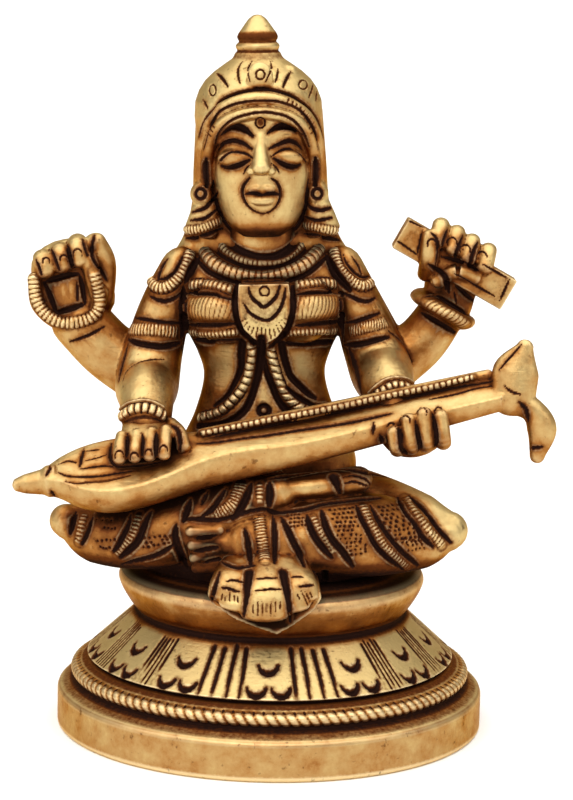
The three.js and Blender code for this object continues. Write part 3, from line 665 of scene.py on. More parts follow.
# Beneath the legs, back from the cloth's fan, shade is painted black, darker towards the bottom
FAN_BACK = -19.5
LEG_SHADE_TOP = 30.6
under_legs = (legs.spots[:, 2] < LEG_SHADE_TOP + 0.9) & (legs.spots[:, 1] > FAN_BACK)
legs.soot[under_legs] = np.clip((LEG_SHADE_TOP - legs.spots[under_legs, 2]) / 2.4, 0, 0.95)

# Dark slots and folds of the legs
LEG_DEPTH = -17
chisel(legs, LEG_DEPTH, (
    (1.1, (-29.1, 38.3), (-29.6, 36.9), (-30.0, 35.4), (-30.2, 34.8)),
    (1.0, (-26.6, 37.6), (-27.1, 36.2), (-27.7, 34.5), (-28.4, 33.1)),
    (1.1, (-20.7, 37.7), (-21.1, 36.3), (-21.8, 34.8), (-22.8, 32.9), (-23.5, 31.9)),
    (1.3, (-17.5, 38.3), (-18.3, 37.0), (-18.9, 35.5), (-19.7, 33.6), (-21.3, 31.9), (-22.5, 30.9)),
    # Painted shadow along the lower edge of the shin, cut as a groove
    (1.0, (-22.1, 29.9), (-19.0, 30.6), (-16.6, 31.3), (-14.2, 32.8)),
    (1.4, (-13.7, 36.1), (-13.9, 34.2), (-13.2, 31.7), (-12.2, 29.3)),
    (1.3, (-11.4, 40.1), (-12.0, 38.4), (-12.6, 36.7)),
    (0.8, (-8.7, 41.3), (-9.7, 39.4)),
    (1.0, (-5.9, 41.8), (-7.0, 40.1), (-8.2, 38.4), (-9.6, 37.4)),
    (1.4, (-2.0, 42.6), (-2.5, 41.1), (-3.2, 39.4), (-4.2, 37.7), (-4.9, 36.8)),
    (1.4, (0.8, 42.7), (0.8, 38.9)),
    (0.8, (-12.8, 36.9), (-10.7, 37.0), (-8.3, 36.7), (-5.0, 37.2), (-2.3, 38.0), (0.0, 38.3), (1.7, 37.9),
     (4.1, 38.1), (6.4, 38.4), (8.8, 39.1), (11.7, 39.5), (14.7, 39.8), (18.0, 40.0)),
    (0.9, (-10.8, 33.9), (-7.5, 34.3)),
    (0.9, (-11.1, 31.8), (-7.3, 32.4)),
    (0.8, (-9.6, 30.0), (-6.8, 30.6)),
    (1.0, (-3.1, 35.4), (-2.8, 34.0), (-2.6, 32.7), (-2.2, 29.8)),
    (0.8, (-6.8, 30.2), (-4.7, 29.3), (-1.7, 29.5)),
    (0.9, (1.3, 37.3), (1.5, 35.1), (1.5, 32.7), (1.5, 29.9)),
    (1.1, (2.6, 37.1), (3.5, 35.3), (4.4, 33.2), (5.4, 31.2), (6.1, 29.3)),
    (1.2, (6.6, 37.4), (7.1, 35.5), (8.0, 33.6), (9.4, 31.7), (10.4, 30.5)),
    (1.2, (8.8, 38.2), (9.6, 35.3), (10.6, 33.3), (12.0, 31.6), (13.6, 29.1)),
    (0.9, (14.2, 38.9), (14.9, 37.0), (15.9, 35.0), (17.1, 32.6), (18.8, 30.7), (21.2, 28.8)),
    (0.9, (16.4, 38.9), (17.4, 36.9), (18.5, 35.0), (19.7, 33.3), (21.4, 31.3), (23.7, 29.2)),
    (1.0, (20.6, 40.1), (21.8, 37.7), (23.3, 35.8), (24.5, 33.8), (26.1, 32.2)),
    (0.8, (22.3, 40.3), (24.0, 38.7), (25.4, 37.0), (26.9, 35.0), (28.8, 32.8)),
    (0.8, (0.8, 43.2), (4.5, 43.7), (8.0, 44.2), (12.3, 44.6), (14.9, 44.2), (18.9, 43.3)),
    (0.4, (12.2, 43.3), (13.8, 43.6), (15.9, 42.8), (16.4, 42.0)),
    (0.4, (12.2, 42.3), (13.8, 42.6), (15.9, 41.9)),
    (None, (10.8, 43.4, 1.7), (11.4, 41.9, 1.1), (11.7, 40.6, 0.5)),
))

# Raised hems and their rungs
bands(legs, LEG_DEPTH, (
    (1.4, 0.3, 0.62, 0, (-27.7, 37.9), (-28.3, 36.2), (-28.7, 34.7), (-29.0, 33.3)),
    (1.4, 0.2, 0.62, 0, (-19.4, 37.8), (-20.0, 36.0), (-20.6, 34.3), (-21.6, 32.8), (-23.0, 31.4)),
    (2.2, 0.4, 0.5, 0, (-3.6, 42.5), (-4.2, 40.6), (-4.9, 39.2), (-6.6, 37.9), (-8.2, 37.2)),
    (1.2, 0.3, 0.6, 0, (-0.7, 42.4), (-0.7, 39.2)),
    (1.8, 0.4, 0.48, 0, (-0.9, 37.4), (-0.6, 35.0), (-0.3, 32.6), (0.0, 30.2)),
    (1.1, 0.2, 0.6, 0, (7.5, 37.2), (8.2, 35.5), (9.2, 34.0), (10.1, 32.6), (10.7, 31.4)),
    (1.5, 0.4, 0.58, 0, (15.2, 39.0), (16.1, 36.5), (17.1, 34.8), (18.3, 32.6), (20.0, 30.7), (22.3, 28.6)),
    (1.6, 0.4, 0.62, 0, (21.7, 40.0), (23.1, 38.0), (24.4, 36.2), (25.6, 34.6), (27.5, 32.3)),
    (1.2, 0.4, 0.57, 0, (0.5, 44.0), (2.4, 44.3), (4.3, 44.8), (6.9, 45.5), (10.4, 45.9)),
), slit=0.3)


def pits(casting, corners, depth, pitch, size):
    """Rows of small square punch marks that fill a four-cornered field."""
    a, b, c, d = (np.array(corner, float) for corner in corners)
    across = max(int(np.linalg.norm(b - a) / pitch), 1)
    down = max(int(np.linalg.norm(d - a) / pitch), 1)
    for i in range(across + 1):
        for j in range(down + 1):
            u = (i + (j % 2) * 0.5) / across + random.uniform(-0.12, 0.12) / across
            v = j / down + random.uniform(-0.12, 0.12) / down
            spot = (a * (1 - u) + b * u) * (1 - v) + (d * (1 - u) + c * u) * v
            if u <= 1.02 and random.random() > 0.04:
                width = size * random.uniform(1.05, 1.45)
                casting.groove(casting.seen([spot], depth, SEAT), width, depth=0.35, soot=0.8)


for corners, pitch, size in (
    (((-25.9, 37.0), (-22.2, 37.0), (-22.9, 35.6), (-25.6, 35.9)), 0.66, 0.42),
    (((-26.0, 33.6), (-23.2, 34.0), (-23.9, 32.4), (-25.7, 32.6)), 0.66, 0.42),
    (((-18.6, 34.0), (-14.7, 34.4), (-14.8, 33.2), (-18.9, 32.5)), 0.66, 0.45),
    (((10.2, 38.2), (13.8, 38.6), (14.9, 34.2), (11.4, 34.2)), 0.66, 0.4),
    (((2.9, 38.0), (6.2, 38.2), (6.9, 36.0), (4.0, 35.6)), 0.66, 0.36),
    (((11.8, 33.6), (14.8, 33.6), (16.4, 31.6), (13.4, 31.0)), 0.66, 0.36),
    (((17.7, 38.6), (20.6, 39.0), (22.9, 35.9), (18.9, 35.4)), 0.66, 0.46),
    (((19.4, 34.8), (23.0, 35.2), (24.4, 33.2), (21.0, 32.8)), 0.7, 0.42),
    (((21.6, 33.4), (24.6, 33.2), (24.7, 32.0), (22.3, 31.6)), 0.7, 0.36),
):
    pits(legs, corners, LEG_DEPTH, pitch, size)

# The fan's wedges, arcs and strokes, drawn on the front of the cushion
FAN_DEPTH = -25
chisel(legs, FAN_DEPTH, (
    (None, (-3.3, 30.3, 1.4), (-3.5, 28.0, 1.2), (-3.7, 26.0, 0.9), (-4.0, 23.3, 0.3)),
    (None, (1.9, 30.5, 1.4), (2.3, 28.6, 1.2), (2.7, 26.6, 1.0), (3.0, 24.5, 0.8), (3.15, 22.6, 0.3)),
    (None, (8.2, 30.6, 1.2), (8.4, 27.1, 1.2), (8.3, 23.9, 0.4)),
    (None, (-7.8, 30.2, 0.4), (-8.6, 27.3, 0.9), (-9.5, 24.2, 0.5)),
    (0.4, (-6.7, 28.8), (-5.5, 29.0), (-4.3, 28.7)),
    (0.45, (-7.7, 27.6), (-6.6, 27.7), (-5.5, 27.4), (-4.8, 27.2)),
    (0.35, (-2.4, 29.2), (-1.0, 29.4), (1.0, 29.5)),
    (0.35, (-2.6, 27.3), (-1.4, 27.5), (0.0, 27.7), (1.7, 27.7)),
    (0.35, (3.1, 29.6), (4.1, 29.8), (4.9, 29.7)),
    (0.45, (4.0, 28.1), (5.3, 28.3), (6.5, 28.5)),
), upright=Matrix())
for x, top, foot, slant in (
    (-7.3, 26.9, 25.9, -0.1), (-6.7, 27.0, 25.7, -0.1), (-6.1, 27.0, 25.8, -0.1), (-5.5, 26.9, 25.8, 0),
    (-4.9, 26.6, 25.6, 0), (-2.6, 25.6, 24.0, 0), (-1.9, 26.0, 23.4, 0), (-1.2, 26.1, 23.5, 0),
    (-0.5, 26.2, 23.8, 0), (0.2, 26.2, 23.5, 0), (0.9, 26.2, 24.2, 0), (1.6, 26.1, 24.6, 0),
    (4.0, 27.3, 26.2, 0.5), (4.7, 27.5, 25.3, 1.1), (5.3, 27.5, 25.9, 0.8), (5.9, 27.6, 26.6, 0.5),
):
    legs.groove(legs.seen([(x, top), (x + slant, foot)], FAN_DEPTH), width=0.26, depth=0.18, soot=0.7)


def behind(casting, lines):
    """Plainer cuts on the far side. Each is its width and then points across it, with their depth."""
    for width, *points in lines:
        casting.groove(casting.near(points, SEAT), width, depth=0.25, soot=0.8)


# Behind, a few folds of the cloth run from the seat out to the knees
behind(legs, (
    (0.7, (-5, 11.5, 37), (-12, 9, 36.6), (-19, 3.4, 36.2), (-26, -2.4, 35.6)),
    (0.6, (-8, 11.5, 33.6), (-15, 8, 33.2), (-21, 2.4, 32.8)),
    (0.7, (5, 11.5, 37), (12, 9, 36.6), (18, 3.4, 36.2), (25, -2.4, 34.8)),
    (0.6, (8, 11.5, 33.6), (15, 8, 33.2), (20, 2.4, 32.6)),
))
legs.finish()

# Trunk, neck and arms, cast in one with the legs: the waist, the bust in a ribbed bodice, and
# four arms with armlets and bracelets. The rear left fist holds a string of beads and the rear
# right hand a scroll of leaves.

trunk_wax = bmesh.new()
body(trunk_wax, [
    (36, 14.0, 9.0, 0.4), (43, 14.6, 8.6, 0.6), (46, 13.6, 7.6, 0.8), (51, 11.2, 6.4, 0.8),
    (57, 9.7, 5.8, 1), (60.5, 10.6, 6.2, 1), (65, 12.6, 7.0, 1), (71, 13.2, 6.8, 1), (74.5, 12.6, 6.2, 1.2),
    (77.5, 8.5, 4.8, 1.5),
])
body(trunk_wax, [
    (72, 7.4, 5.4, 0.4), (75.5, 6.4, 5.4, 0), (78, 5.6, 5.1, -0.2), (81, 5.2, 4.9, -0.4), (84, 5, 4, 0),
], 64)
for side in (-1, 1):
    ball(trunk_wax, (side * 5.9, -4.2, 67.6), (5.4, 4.4, 5.2))
    limb(trunk_wax, [(side * 13.5, 3.8, 71), (side * 19.6, 3.6, 57.6)], [3.8, 4.8])
for points, radii in (
    ([(-12.6, 1.5, 73.4), (-15.6, 1.2, 67.5), (-17.6, 0.4, 61.0), (-18.6, -2.6, 56.0), (-18.4, -8.4, 54.6),
      (-18.2, -12.8, 51.9)], [4.0, 4.2, 4.7, 5.1, 4.4, 3.9]),
    ([(12.2, 1.5, 73.4), (15.0, 1.2, 67.5), (17.0, 0.4, 62.0), (18.6, -2.6, 57.6), (19.2, -8.0, 56.4),
      (20.2, -12.6, 53.8)], [3.9, 4.1, 4.7, 5.0, 4.4, 3.9]),
):
    limb(trunk_wax, points, radii, rings=48, sides=32)
limb(trunk_wax, [(-20.4, 3.6, 57.0), (-25.2, 3.6, 60.6), (-29.6, 3.4, 65.4)], [4.9, 4.8, 4.7], sides=28)
limb(trunk_wax, [(21.0, 3.6, 58.2), (25.2, 3.6, 61.4), (28.9, 3.2, 66.4)], [4.7, 4.2, 3.8], sides=28,
     ends=0.5)


def fingers(wax, rows, radius):
    """A row of fingers, each a short round-ended limb through its own points."""
    for points in rows:
        limb(wax, points, [(radius, radius * 0.9) for _ in points], rings=12, sides=16, ends=0.8)


# Rear left fist
limb(trunk_wax, [(-30.2, 3.2, 68.6), (-31.0, 3.2, 74.4)], [(6.5, 3.4), (6.3, 3.2)], rings=12, sides=28,
     ends=0.9)
fingers(trunk_wax, [[(x, 2.8, 75.6 + i * 1.25), (x + 0.3, -0.2, 75.6 + i), (x + 0.8, -0.6, 73.9 + i * 0.8)]
                    for i, x in enumerate((-35.2, -32.4, -29.6))], 1.6)
fingers(trunk_wax, [[(-25.8, 2.4, 69), (-25.4, 2.2, 75), (-26.8, 1.2, 78.2)]], 1.9)
fingers(trunk_wax, [[(-26.2, 0.6, 68.8), (-27.0, -0.4, 72.6), (-27.6, -0.4, 75.8)]], 1.35)
limb(trunk_wax, [
    (-36.4, 0.4, 72.5), (-35.8, 0.0, 68.2), (-31.6, -0.2, 65.1), (-27.2, 0, 66.4), (-25.8, 0.4, 70.2),
], [1.15] * 5, (0, 1, 0), rings=40, sides=14)

# Rear right hand round its scroll
limb(trunk_wax, [(29.4, 3, 67.5), (30.6, 3, 73.4)], [(4.1, 3.0), (4.5, 2.6)], rings=12)
block(trunk_wax, (30.4, 1.2, 74.3), (19.9, 4.6, 5.3), (0, 30.5, 0))
fingers(trunk_wax, [[(x + 0.2, 2.6, z - 0.9), (x, -0.4, z - 0.7), (x - 0.6, -1.8, z - 3.0)]
                    for x, z in ((28.2, 81.0), (30.7, 79.8), (33.1, 78.4), (35.7, 76.9))], 1.4)
fingers(trunk_wax, [[(26.0, 0.8, 72.6), (26.3, -1.6, 75.4), (26.6, -1.4, 78.8)]], 1.5)
fingers(trunk_wax, [[(27.6, -0.4, 71.5), (30.6, -1.3, 73.2), (33.8, -1.0, 72.2)]], 1.2)
limb(trunk_wax, [
    (25.4, 4.4, 68.8), (26.0, 0.2, 68.5), (28.6, -1.7, 66.9), (31.4, 0.2, 65.0), (32.2, 4.4, 64.4),
], [(1.2, 1.9)] * 5, (0, 0, 1), rings=40, sides=20)

# The bodice's broad band, and the pendant that hangs over it
for side in (-1, 1):
    limb(trunk_wax, [(side * 3.4, -7.4, 68.4), (side * 7.6, -7.9, 68.4), (side * 11.6, -3.6, 68.3)],
         [(2.15, 1.5), (2.2, 1.6), (2.1, 1.4)], (0, 0, 1), ends=0.4)
pendant = [(-3.7, 72.4), (-3.9, 69.8), (-3.7, 67.4), (-2.9, 65.3), (-1.3, 63.8), (0.6, 63.1), (2.2, 64.1),
           (3.6, 66.0), (4.2, 68.5), (4.3, 71.0), (4.1, 72.5)]
slab(trunk_wax, pendant, -9.3, -5.0)
trunk = Casting("trunk_and_arms", melted(trunk_wax, 0.21))


def ring(x, z, wide, tall, start=0, sweep=360, turns=16):
    """Points round an oval, from an angle in degrees."""
    return [(x + wide * math.cos(math.radians(start + sweep * i / turns)),
             z + tall * math.sin(math.radians(start + sweep * i / turns))) for i in range(turns + 1)]


# Necklaces, bodice and pendant, as they are cut in the wax of the chest
CHEST_DEPTH = -8
bands(trunk, CHEST_DEPTH, (
    (1.3, 0.7, 0.72, 0, (-6.7, 78.8), (-4.9, 77.0), (-2.3, 75.9), (0.2, 75.6), (3.5, 76.3), (6.0, 78.2),
     (7.2, 79.6)),
    (2.1, 1.0, 0.98, 0, (-9.2, 77.9), (-7.8, 76), (-5.0, 74.3), (-2.0, 73.6), (0.5, 73.5), (3.5, 74.0),
     (6.3, 75.2), (8.2, 76.9), (9.4, 78.4)),
    (1.7, 0.7, 0.75, 0, (-11.6, 72.3), (-8.0, 72.3), (-4.3, 71.3)),
    (1.7, 0.7, 0.75, 0, (5.0, 72.0), (8.0, 72.4), (11.6, 72.2)),
    (1.3, 0.6, 0.6, 0, (-11.4, 64.9), (-8.0, 64.6), (-3.8, 64.9)),
    (1.3, 0.6, 0.6, 0, (3.2, 64.6), (7.0, 64.8), (11.4, 64.9)),
))
bands(trunk, CHEST_DEPTH, (
    (4.0, 0.1, 0.85, 0.25, (-12.0, 68.3), (-8.0, 68.6), (-4.4, 68.4)),
    (4.0, 0.1, 0.78, 0.25, (4.8, 68.5), (8.0, 68.7), (12.2, 68.2)),
), slit=0.26, slit_depth=0.14)
chisel(trunk, CHEST_DEPTH, (
    (0.7, (-8, 78.6), (-6.2, 76.8), (-3.5, 75.45), (-1, 74.95), (1.5, 74.95), (4.5, 75.8), (7, 77.8),
     (7.9, 79.4)),
    (0.9, (-10.4, 76.6), (-8.4, 74.4), (-6.2, 73.3), (-4, 72.6), (-1.0, 72.35)),
    (0.9, (1.2, 72.4), (4.4, 72.9), (7, 73.9), (9.4, 75.9), (10, 76.6)),
    (1.4, (-12, 72.6), (-11.2, 74.5), (-9.9, 76.5)),
    (1.6, (10, 76.8), (11.5, 73.8), (13.6, 71.2)),
    (1.0, (-11.8, 70.95), (-8, 70.8), (-4.6, 70.0)),
    (0.9, (5.0, 70.6), (8, 70.9), (12.1, 70.8)),
    (0.9, (-11.6, 66.0), (-8, 65.9), (-4.4, 66.1)),
    (1.0, (5.2, 65.7), (8.0, 65.9), (12.0, 66.3)),
    (1.2, (-12.0, 63.8), (-8, 63.4), (-3.4, 63.5)),
    (1.2, (3.0, 62.9), (7, 62.9), (12.0, 63.2)),
    (1.4, (-12.3, 72), (-12.2, 67.5), (-12.4, 63)),
    (1.2, (12.3, 71), (12.3, 67), (12.3, 63)),
    (1.0, (-4.0, 72.6), (-4.35, 69.8), (-4.1, 67.0), (-3.2, 64.9), (-1.5, 63.3), (0.2, 62.5)),
    (1.0, (0.9, 62.5), (2.7, 63.7), (4.1, 65.8), (4.75, 68.5), (4.7, 72.0)),
    (0.6, (-2.2, 71.9), (-1.8, 70.4), (-0.6, 69.2), (0.1, 68.7), (0.9, 69.1), (2.1, 70.3), (2.7, 72)),
    (0.55, (-3.0, 69.4), (-2.0, 67.8), (-0.3, 66.8), (0.8, 66.6), (2.3, 67.8), (3.2, 69.6), (3.6, 71.6)),
    # Painted shadow: a wide black crescent round the foot of the neck, cut as a groove
    (None, (-5.8, 81.4, 0.9), (-5.5, 79.8, 1.3), (-4.7, 78.4, 1.4), (-2.5, 77.2, 1.2), (0, 76.6, 1.1),
     (2.4, 76.8, 1.4), (4.6, 78.1, 1.5), (5.6, 79.8, 1.4), (5.9, 81.8, 0.9)),
    (0.3, *ring(0.3, 71.2, 0.75, 0.75)),
))
# A fringe of short strokes round the pendant's foot
for inner, outer in zip(ring(0.4, 68.0, 3.0, 2.6, 200, 140, 12), ring(0.4, 68.0, 3.9, 4.3, 200, 140, 12)):
    trunk.groove(trunk.seen([inner, outer], CHEST_DEPTH, SEAT), width=0.24, depth=0.2, soot=0.7)
# The waist, the pendant and the throat are rubbed bright, the chest a little duller, and the shoulders
# beside the neck darker, as painted shade
rubbing_and_light_patches(trunk, (
    (-0.36, (0, -6, 57), (8, 7, 6)), (-0.5, (0.3, -9, 68), (4.6, 3, 5)),
    *((0.5, (side * 9.5, -3, 79), (4, 6, 2.6)) for side in (-1, 1)),
    (-0.45, (-1.5, -5, 78.6), (3.4, 5, 1.6)), (0.2, (0, -8, 73), (10, 5, 7)),
))

# Loops of cord on the shoulders, each round a leaf, the armlets and the folds of the sleeves
ARM_DEPTH = -4
bands(trunk, ARM_DEPTH, (
    (1.8, 0.8, 0.62, 0, (-11.3, 77.1), (-11.9, 75.3), (-12.8, 73.7), (-14, 72.3), (-15.2, 71.5),
     (-16.6, 71.5), (-17.5, 72.5), (-17.4, 73.6)),
    (1.7, 0.8, 0.55, 0, (11.2, 77.2), (11.7, 75), (12.5, 73.6), (13.7, 72.4), (14.9, 71.6), (16, 71.4),
     (17.2, 72)),
    (2.0, 0.45, 0.55, 0, (-21.0, 64.9), (-17.8, 64.8), (-13.6, 64.3)),
    (1.9, 0.45, 0.42, 0.2, (13.6, 64.1), (16.2, 64.8), (19.4, 65.6)),
))
bands(trunk, ARM_DEPTH, (
    (2.1, 0.12, 0.85, 0.3, (25.8, 68.9), (28, 67.6), (29.9, 66.4), (32.0, 64.8)),
), slit_depth=0.16)
chisel(trunk, ARM_DEPTH, (
    (1.0, (-15, 75.9), (-15.8, 74.9), (-16.4, 73.3), (-16.4, 72.8)),
    (0.7, (-16.4, 72.8), (-15.4, 72.9), (-14, 73.7), (-13, 75.3), (-12.6, 76.3)),
    (0.7, (-17.9, 70.2), (-16.8, 69.6), (-15.4, 69.3), (-13.8, 69.8), (-12.6, 70.7)),
    (0.6, (-20.3, 66.7), (-18.4, 66.4), (-16.2, 66.0), (-13.8, 65.8), (-12.2, 65.7)),
    (1.1, (-21.4, 63.3), (-19.9, 62.7), (-17.8, 62.3), (-16.2, 62.1), (-14.4, 62.3), (-13.1, 62.6)),
    (0.8, (-21.5, 62.4), (-22, 60.6), (-22.6, 58.6), (-23, 56.6)),
    (0.26, (-22.4, 56.5), (-21.8, 58.1), (-20.2, 59.4), (-17.8, 60), (-15.8, 60)),
    (0.5, (12.7, 76.3), (13.3, 74.9), (14.5, 73.5), (15.7, 72.8), (17, 73)),
    (0.5, (14.1, 76), (15.1, 74.5), (15.5, 73.3)),
    (0.7, (12.3, 70.4), (13.7, 69.8), (15.3, 69.1), (16.7, 69), (17.7, 69.5)),
    (0.7, (12.7, 65.6), (14.3, 65.7), (16.2, 66.3), (18.4, 67.1)),
    (1.1, (12.7, 62), (15.3, 62.2), (17.7, 62.8), (19.8, 63.3)),
    (0.8, (25.6, 69.6), (27.1, 69.7), (29.1, 68.6), (31, 67.4), (32, 66.7)),
    (0.9, (24.9, 67.1), (26.3, 66.2), (28.3, 65), (30.6, 63.6)),
    (0.6, (19.8, 64.2), (21.6, 62.7), (22.6, 61.1), (23.4, 59.1)),
))
# Painted shade with no cut, in the narrow gaps between the upper arms and the body
for line in ([(-12.8, 70.7), (-12.8, 66.3), (-13, 63.5)], [(13.5, 61.6), (14.6, 58.2), (15.4, 54.3)]):
    trunk.groove(trunk.seen(line, ARM_DEPTH, SEAT), width=1.5, depth=0)

# The waist's ribbons: a deep cut down each side of them, and a cord of beads on each
WAIST_DEPTH = -6
chisel(trunk, WAIST_DEPTH, (
    (None, (-3.35, 62.7, 1.5), (-3.5, 61.0, 1.4), (-3.65, 58.7, 1.2), (-4.9, 55.9, 0.9), (-5.9, 54.4, 0.8),
     (-7.9, 52.8, 0.6)),
    (None, (-0.3, 63.4, 1.5), (-0.35, 61.3, 1.6), (-0.9, 57.8, 1.4), (-1.45, 55.9, 1.3), (-2.15, 53.8, 1.3),
     (-3.1, 52.1, 1.3), (-4.5, 50.9, 1.3), (-6.4, 50, 1.2), (-9, 49.7, 1.1), (-10.6, 49.7, 1.0)),
    (None, (0.1, 60.2, 0.8), (0.5, 58.1, 1.1), (1.35, 55.9, 1.2), (2.2, 53.8, 1.2), (3.2, 52.4, 1.4),
     (4.1, 51.5, 1.6)),
    (None, (2.9, 62.5, 1.4), (3.2, 60.7, 1.3), (3.7, 58.9, 1.2), (4.35, 57.3, 1.2), (5.6, 56.0, 1.2),
     (7.1, 54.6, 1.1), (8.2, 53.9, 0.6)),
    (None, (3.6, 55.6, 0.7), (4.7, 54.6, 0.9), (6.4, 53.5, 1.0), (8.2, 52.6, 1.0), (9.9, 52.7, 0.9)),
    (0.7, (-12.2, 63.7), (-10, 63.2), (-7.9, 63.1), (-5.3, 63.3), (-3.4, 63.4)),
    (0.7, (3.3, 62.5), (5.2, 62.4), (7.8, 62.5), (9.6, 62.9)),
    (0.8, *ring(-0.05, 52.0, 0.85, 0.8)),
))
bands(trunk, WAIST_DEPTH, (
    (1.5, 0.8, 1.2, 0, (-2.3, 63.0), (-1.8, 61.8), (-1.8, 60.6), (-2.15, 59.3), (-2.35, 58.1), (-2.8, 56.7),
     (-3.5, 55.3), (-4.75, 53.9), (-6, 52.6), (-7.4, 51.7), (-8.7, 51.3), (-10.4, 50.9)),
    (1.5, 0.8, 1.25, 0.5, (1.1, 62.8), (1.2, 61.2), (1.6, 59.6), (1.95, 58.2), (2.45, 56.4), (3.3, 54.8),
     (4.3, 53.4), (5.5, 52.5), (7.2, 51.9)),
), slit=0.4, slit_depth=0.4)

# Bracelets: a bead row on each front wrist, with a thin cord above it and a line below it
WRIST_DEPTH = -10
bands(trunk, WRIST_DEPTH, (
    (1.7, 0.7, 1.08, 0, (-22.8, 51.4), (-21.7, 52.4), (-20.5, 53.1), (-19.3, 53.3), (-18.1, 53.2),
     (-16.8, 52.7), (-15.4, 51.8)),
    (1.5, 0.7, 0.94, 0, (16.6, 53.9), (18, 55.2), (18.8, 55.7), (19.8, 56.2), (20.6, 56.4), (21.6, 56.3),
     (22.5, 56), (23.6, 55.4)),
), slit=0.42, slit_depth=0.45)
bands(trunk, WRIST_DEPTH, (
    (0.6, 0.4, 0, 0, (-22.6, 52.9), (-21.3, 53.9), (-19.3, 54.4), (-17.5, 54.2), (-15.6, 53.2)),
    (0.6, 0.4, 0, 0, (16.4, 55.1), (17.6, 56.3), (18.9, 57.2), (20.5, 57.6), (22.3, 57.4), (23.6, 56.6)),
))
for line in ([(-22.6, 50.6), (-21.3, 51.3), (-19.5, 51.8), (-17.6, 51.7), (-16.1, 51.1)],
             [(17.2, 53.0), (18.9, 54.4), (20.6, 55.1), (22.6, 54.9)]):
    trunk.groove(trunk.seen(line, WRIST_DEPTH, SEAT), width=0.6, depth=0.2, soot=0.8)


def nails(casting, depth, spots):
    """Fingernails: each a shallow cut round the top of an oval."""
    for x, z, size in spots:
        nail = casting.seen(ring(x, z, size, size * 1.15, -20, 220), depth, SEAT)
        casting.groove(nail, width=0.28, depth=0.2)


# Rear left fist: gaps between the fingers, a square-cut seal in the palm, and the bead string
FIST_DEPTH = 0
bands(trunk, FIST_DEPTH, (
    (2.0, 0.45, 0.72, 0, (-26.8, 73.6), (-26.1, 70), (-26.3, 67.5), (-28.2, 66), (-31, 65.5), (-33.7, 66.2),
     (-35.5, 68), (-36.4, 70.4), (-36.6, 73.4)),
))
chisel(trunk, FIST_DEPTH, (
    (0.6, (-36.0, 75.6), (-35.2, 73.2)),
    (0.7, (-33.6, 77.3), (-32.4, 73.9)),
    (0.8, (-31.0, 77.9), (-30.2, 74.3)),
    (0.7, (-28.5, 78.8), (-27.8, 76.3)),
    (0.7, (-26.7, 79.5), (-27.1, 77.5), (-26.9, 75.8), (-25.9, 74), (-24.9, 72.2)),
    (0.5, (-31.0, 62.4), (-28, 63.4), (-25.4, 64.8)),
    (0.5, (-29.6, 72), (-29.6, 69)),
    (1.1, (-34.9, 72.0), (-30.9, 73.1), (-29.4, 73.3)),
    (0.9, (-29.2, 73.2), (-28.8, 71.5), (-28.4, 68.7)),
    (1.1, (-28.4, 68.5), (-32.9, 67.1)),
    (1.1, (-33.0, 67.1), (-34.8, 71.9)),
))
nails(trunk, FIST_DEPTH, ((-34.4, 75.3, 0.6), (-31.6, 75.6, 0.65), (-29.4, 76.4, 0.75)))

# Rear right hand: gaps between the fingers and the frames cut on the ends of the scroll
SCROLL_DEPTH = -2
chisel(trunk, SCROLL_DEPTH, (
    (0.35, (22.6, 81.4), (21.1, 78.4)),
    (0.35, (21.1, 78.4), (24.4, 76.0)),
    (0.35, (22.9, 81.5), (25.6, 80.3)),
    (0.35, (25.2, 80), (24.4, 76.2)),
    (0.6, (26.6, 79.5), (27.3, 78.8), (27.7, 77.2), (27.5, 75.2), (27.3, 74.3)),
    (1.0, (27.3, 73.8), (28.6, 72.8), (29.2, 71.3), (29.4, 70)),
    (0.7, (29.2, 80.0), (28.4, 77.3)),
    (0.8, (31.6, 78.9), (30.9, 76.9), (30.3, 75.4)),
    (0.8, (34.0, 77.9), (33.3, 76.3), (32.7, 74.2)),
    (0.8, (28.2, 75.7), (30, 75.2), (32, 74.6), (34, 73.4)),
    (0.4, (34.8, 74.4), (38.5, 72.2)),
    (0.4, (39, 72), (37.5, 68.6)),
    (0.4, (30.2, 73), (36.6, 69.3)),
    (0.8, (30.4, 71), (33.8, 68.3)),
    (0.4, (30.2, 70.3), (30.6, 68.2)),
    (0.9, (26.1, 74.5), (27.1, 73.9), (28.3, 73.1), (28.9, 71.9), (28.9, 70.5)),
))
nails(trunk, SCROLL_DEPTH, ((26.7, 77.7, 0.7), (29.9, 77.8, 0.8), (32, 76.6, 0.8), (34.6, 75.5, 0.8)))

# The bodice's hems, the waist cord and the armlets go on round the back, with less work in them
behind(trunk, (
    (0.8, (-12, 9, 63.4), (-6, 10, 63.2), (0, 10, 63.2), (6, 10, 63.2), (12, 9, 63.4)),
    (0.6, (-12, 9, 65.8), (-6, 10, 65.6), (0, 10, 65.6), (6, 10, 65.6), (12, 9, 65.8)),
    (0.6, (-9, 9, 55.0), (0, 10, 54.2), (9, 9, 55.0)),
    (0.6, (-9, 9, 53.4), (0, 10, 52.6), (9, 9, 53.4)),
    (0.7, (-13, 10, 41), (-6, 11, 39.6), (0, 11, 39.2), (6, 11, 39.6), (13, 10, 41)),
    *((0.6, (side * 20.5, 9, 66.2), (side * 18, 10, 66.6), (side * 14.5, 9, 66.6)) for side in (-1, 1)),
    *((0.6, (side * 21.5, 9, 63.6), (side * 18.5, 10, 64.0), (side * 14.5, 9, 64.0)) for side in (-1, 1)),
))
trunk.finish()

# Head, crown and hair, of the same pour: a calm stylised idol's face with closed lids, a domed
# crown with two bands and a finial, and hair that falls behind the ears to the shoulders.

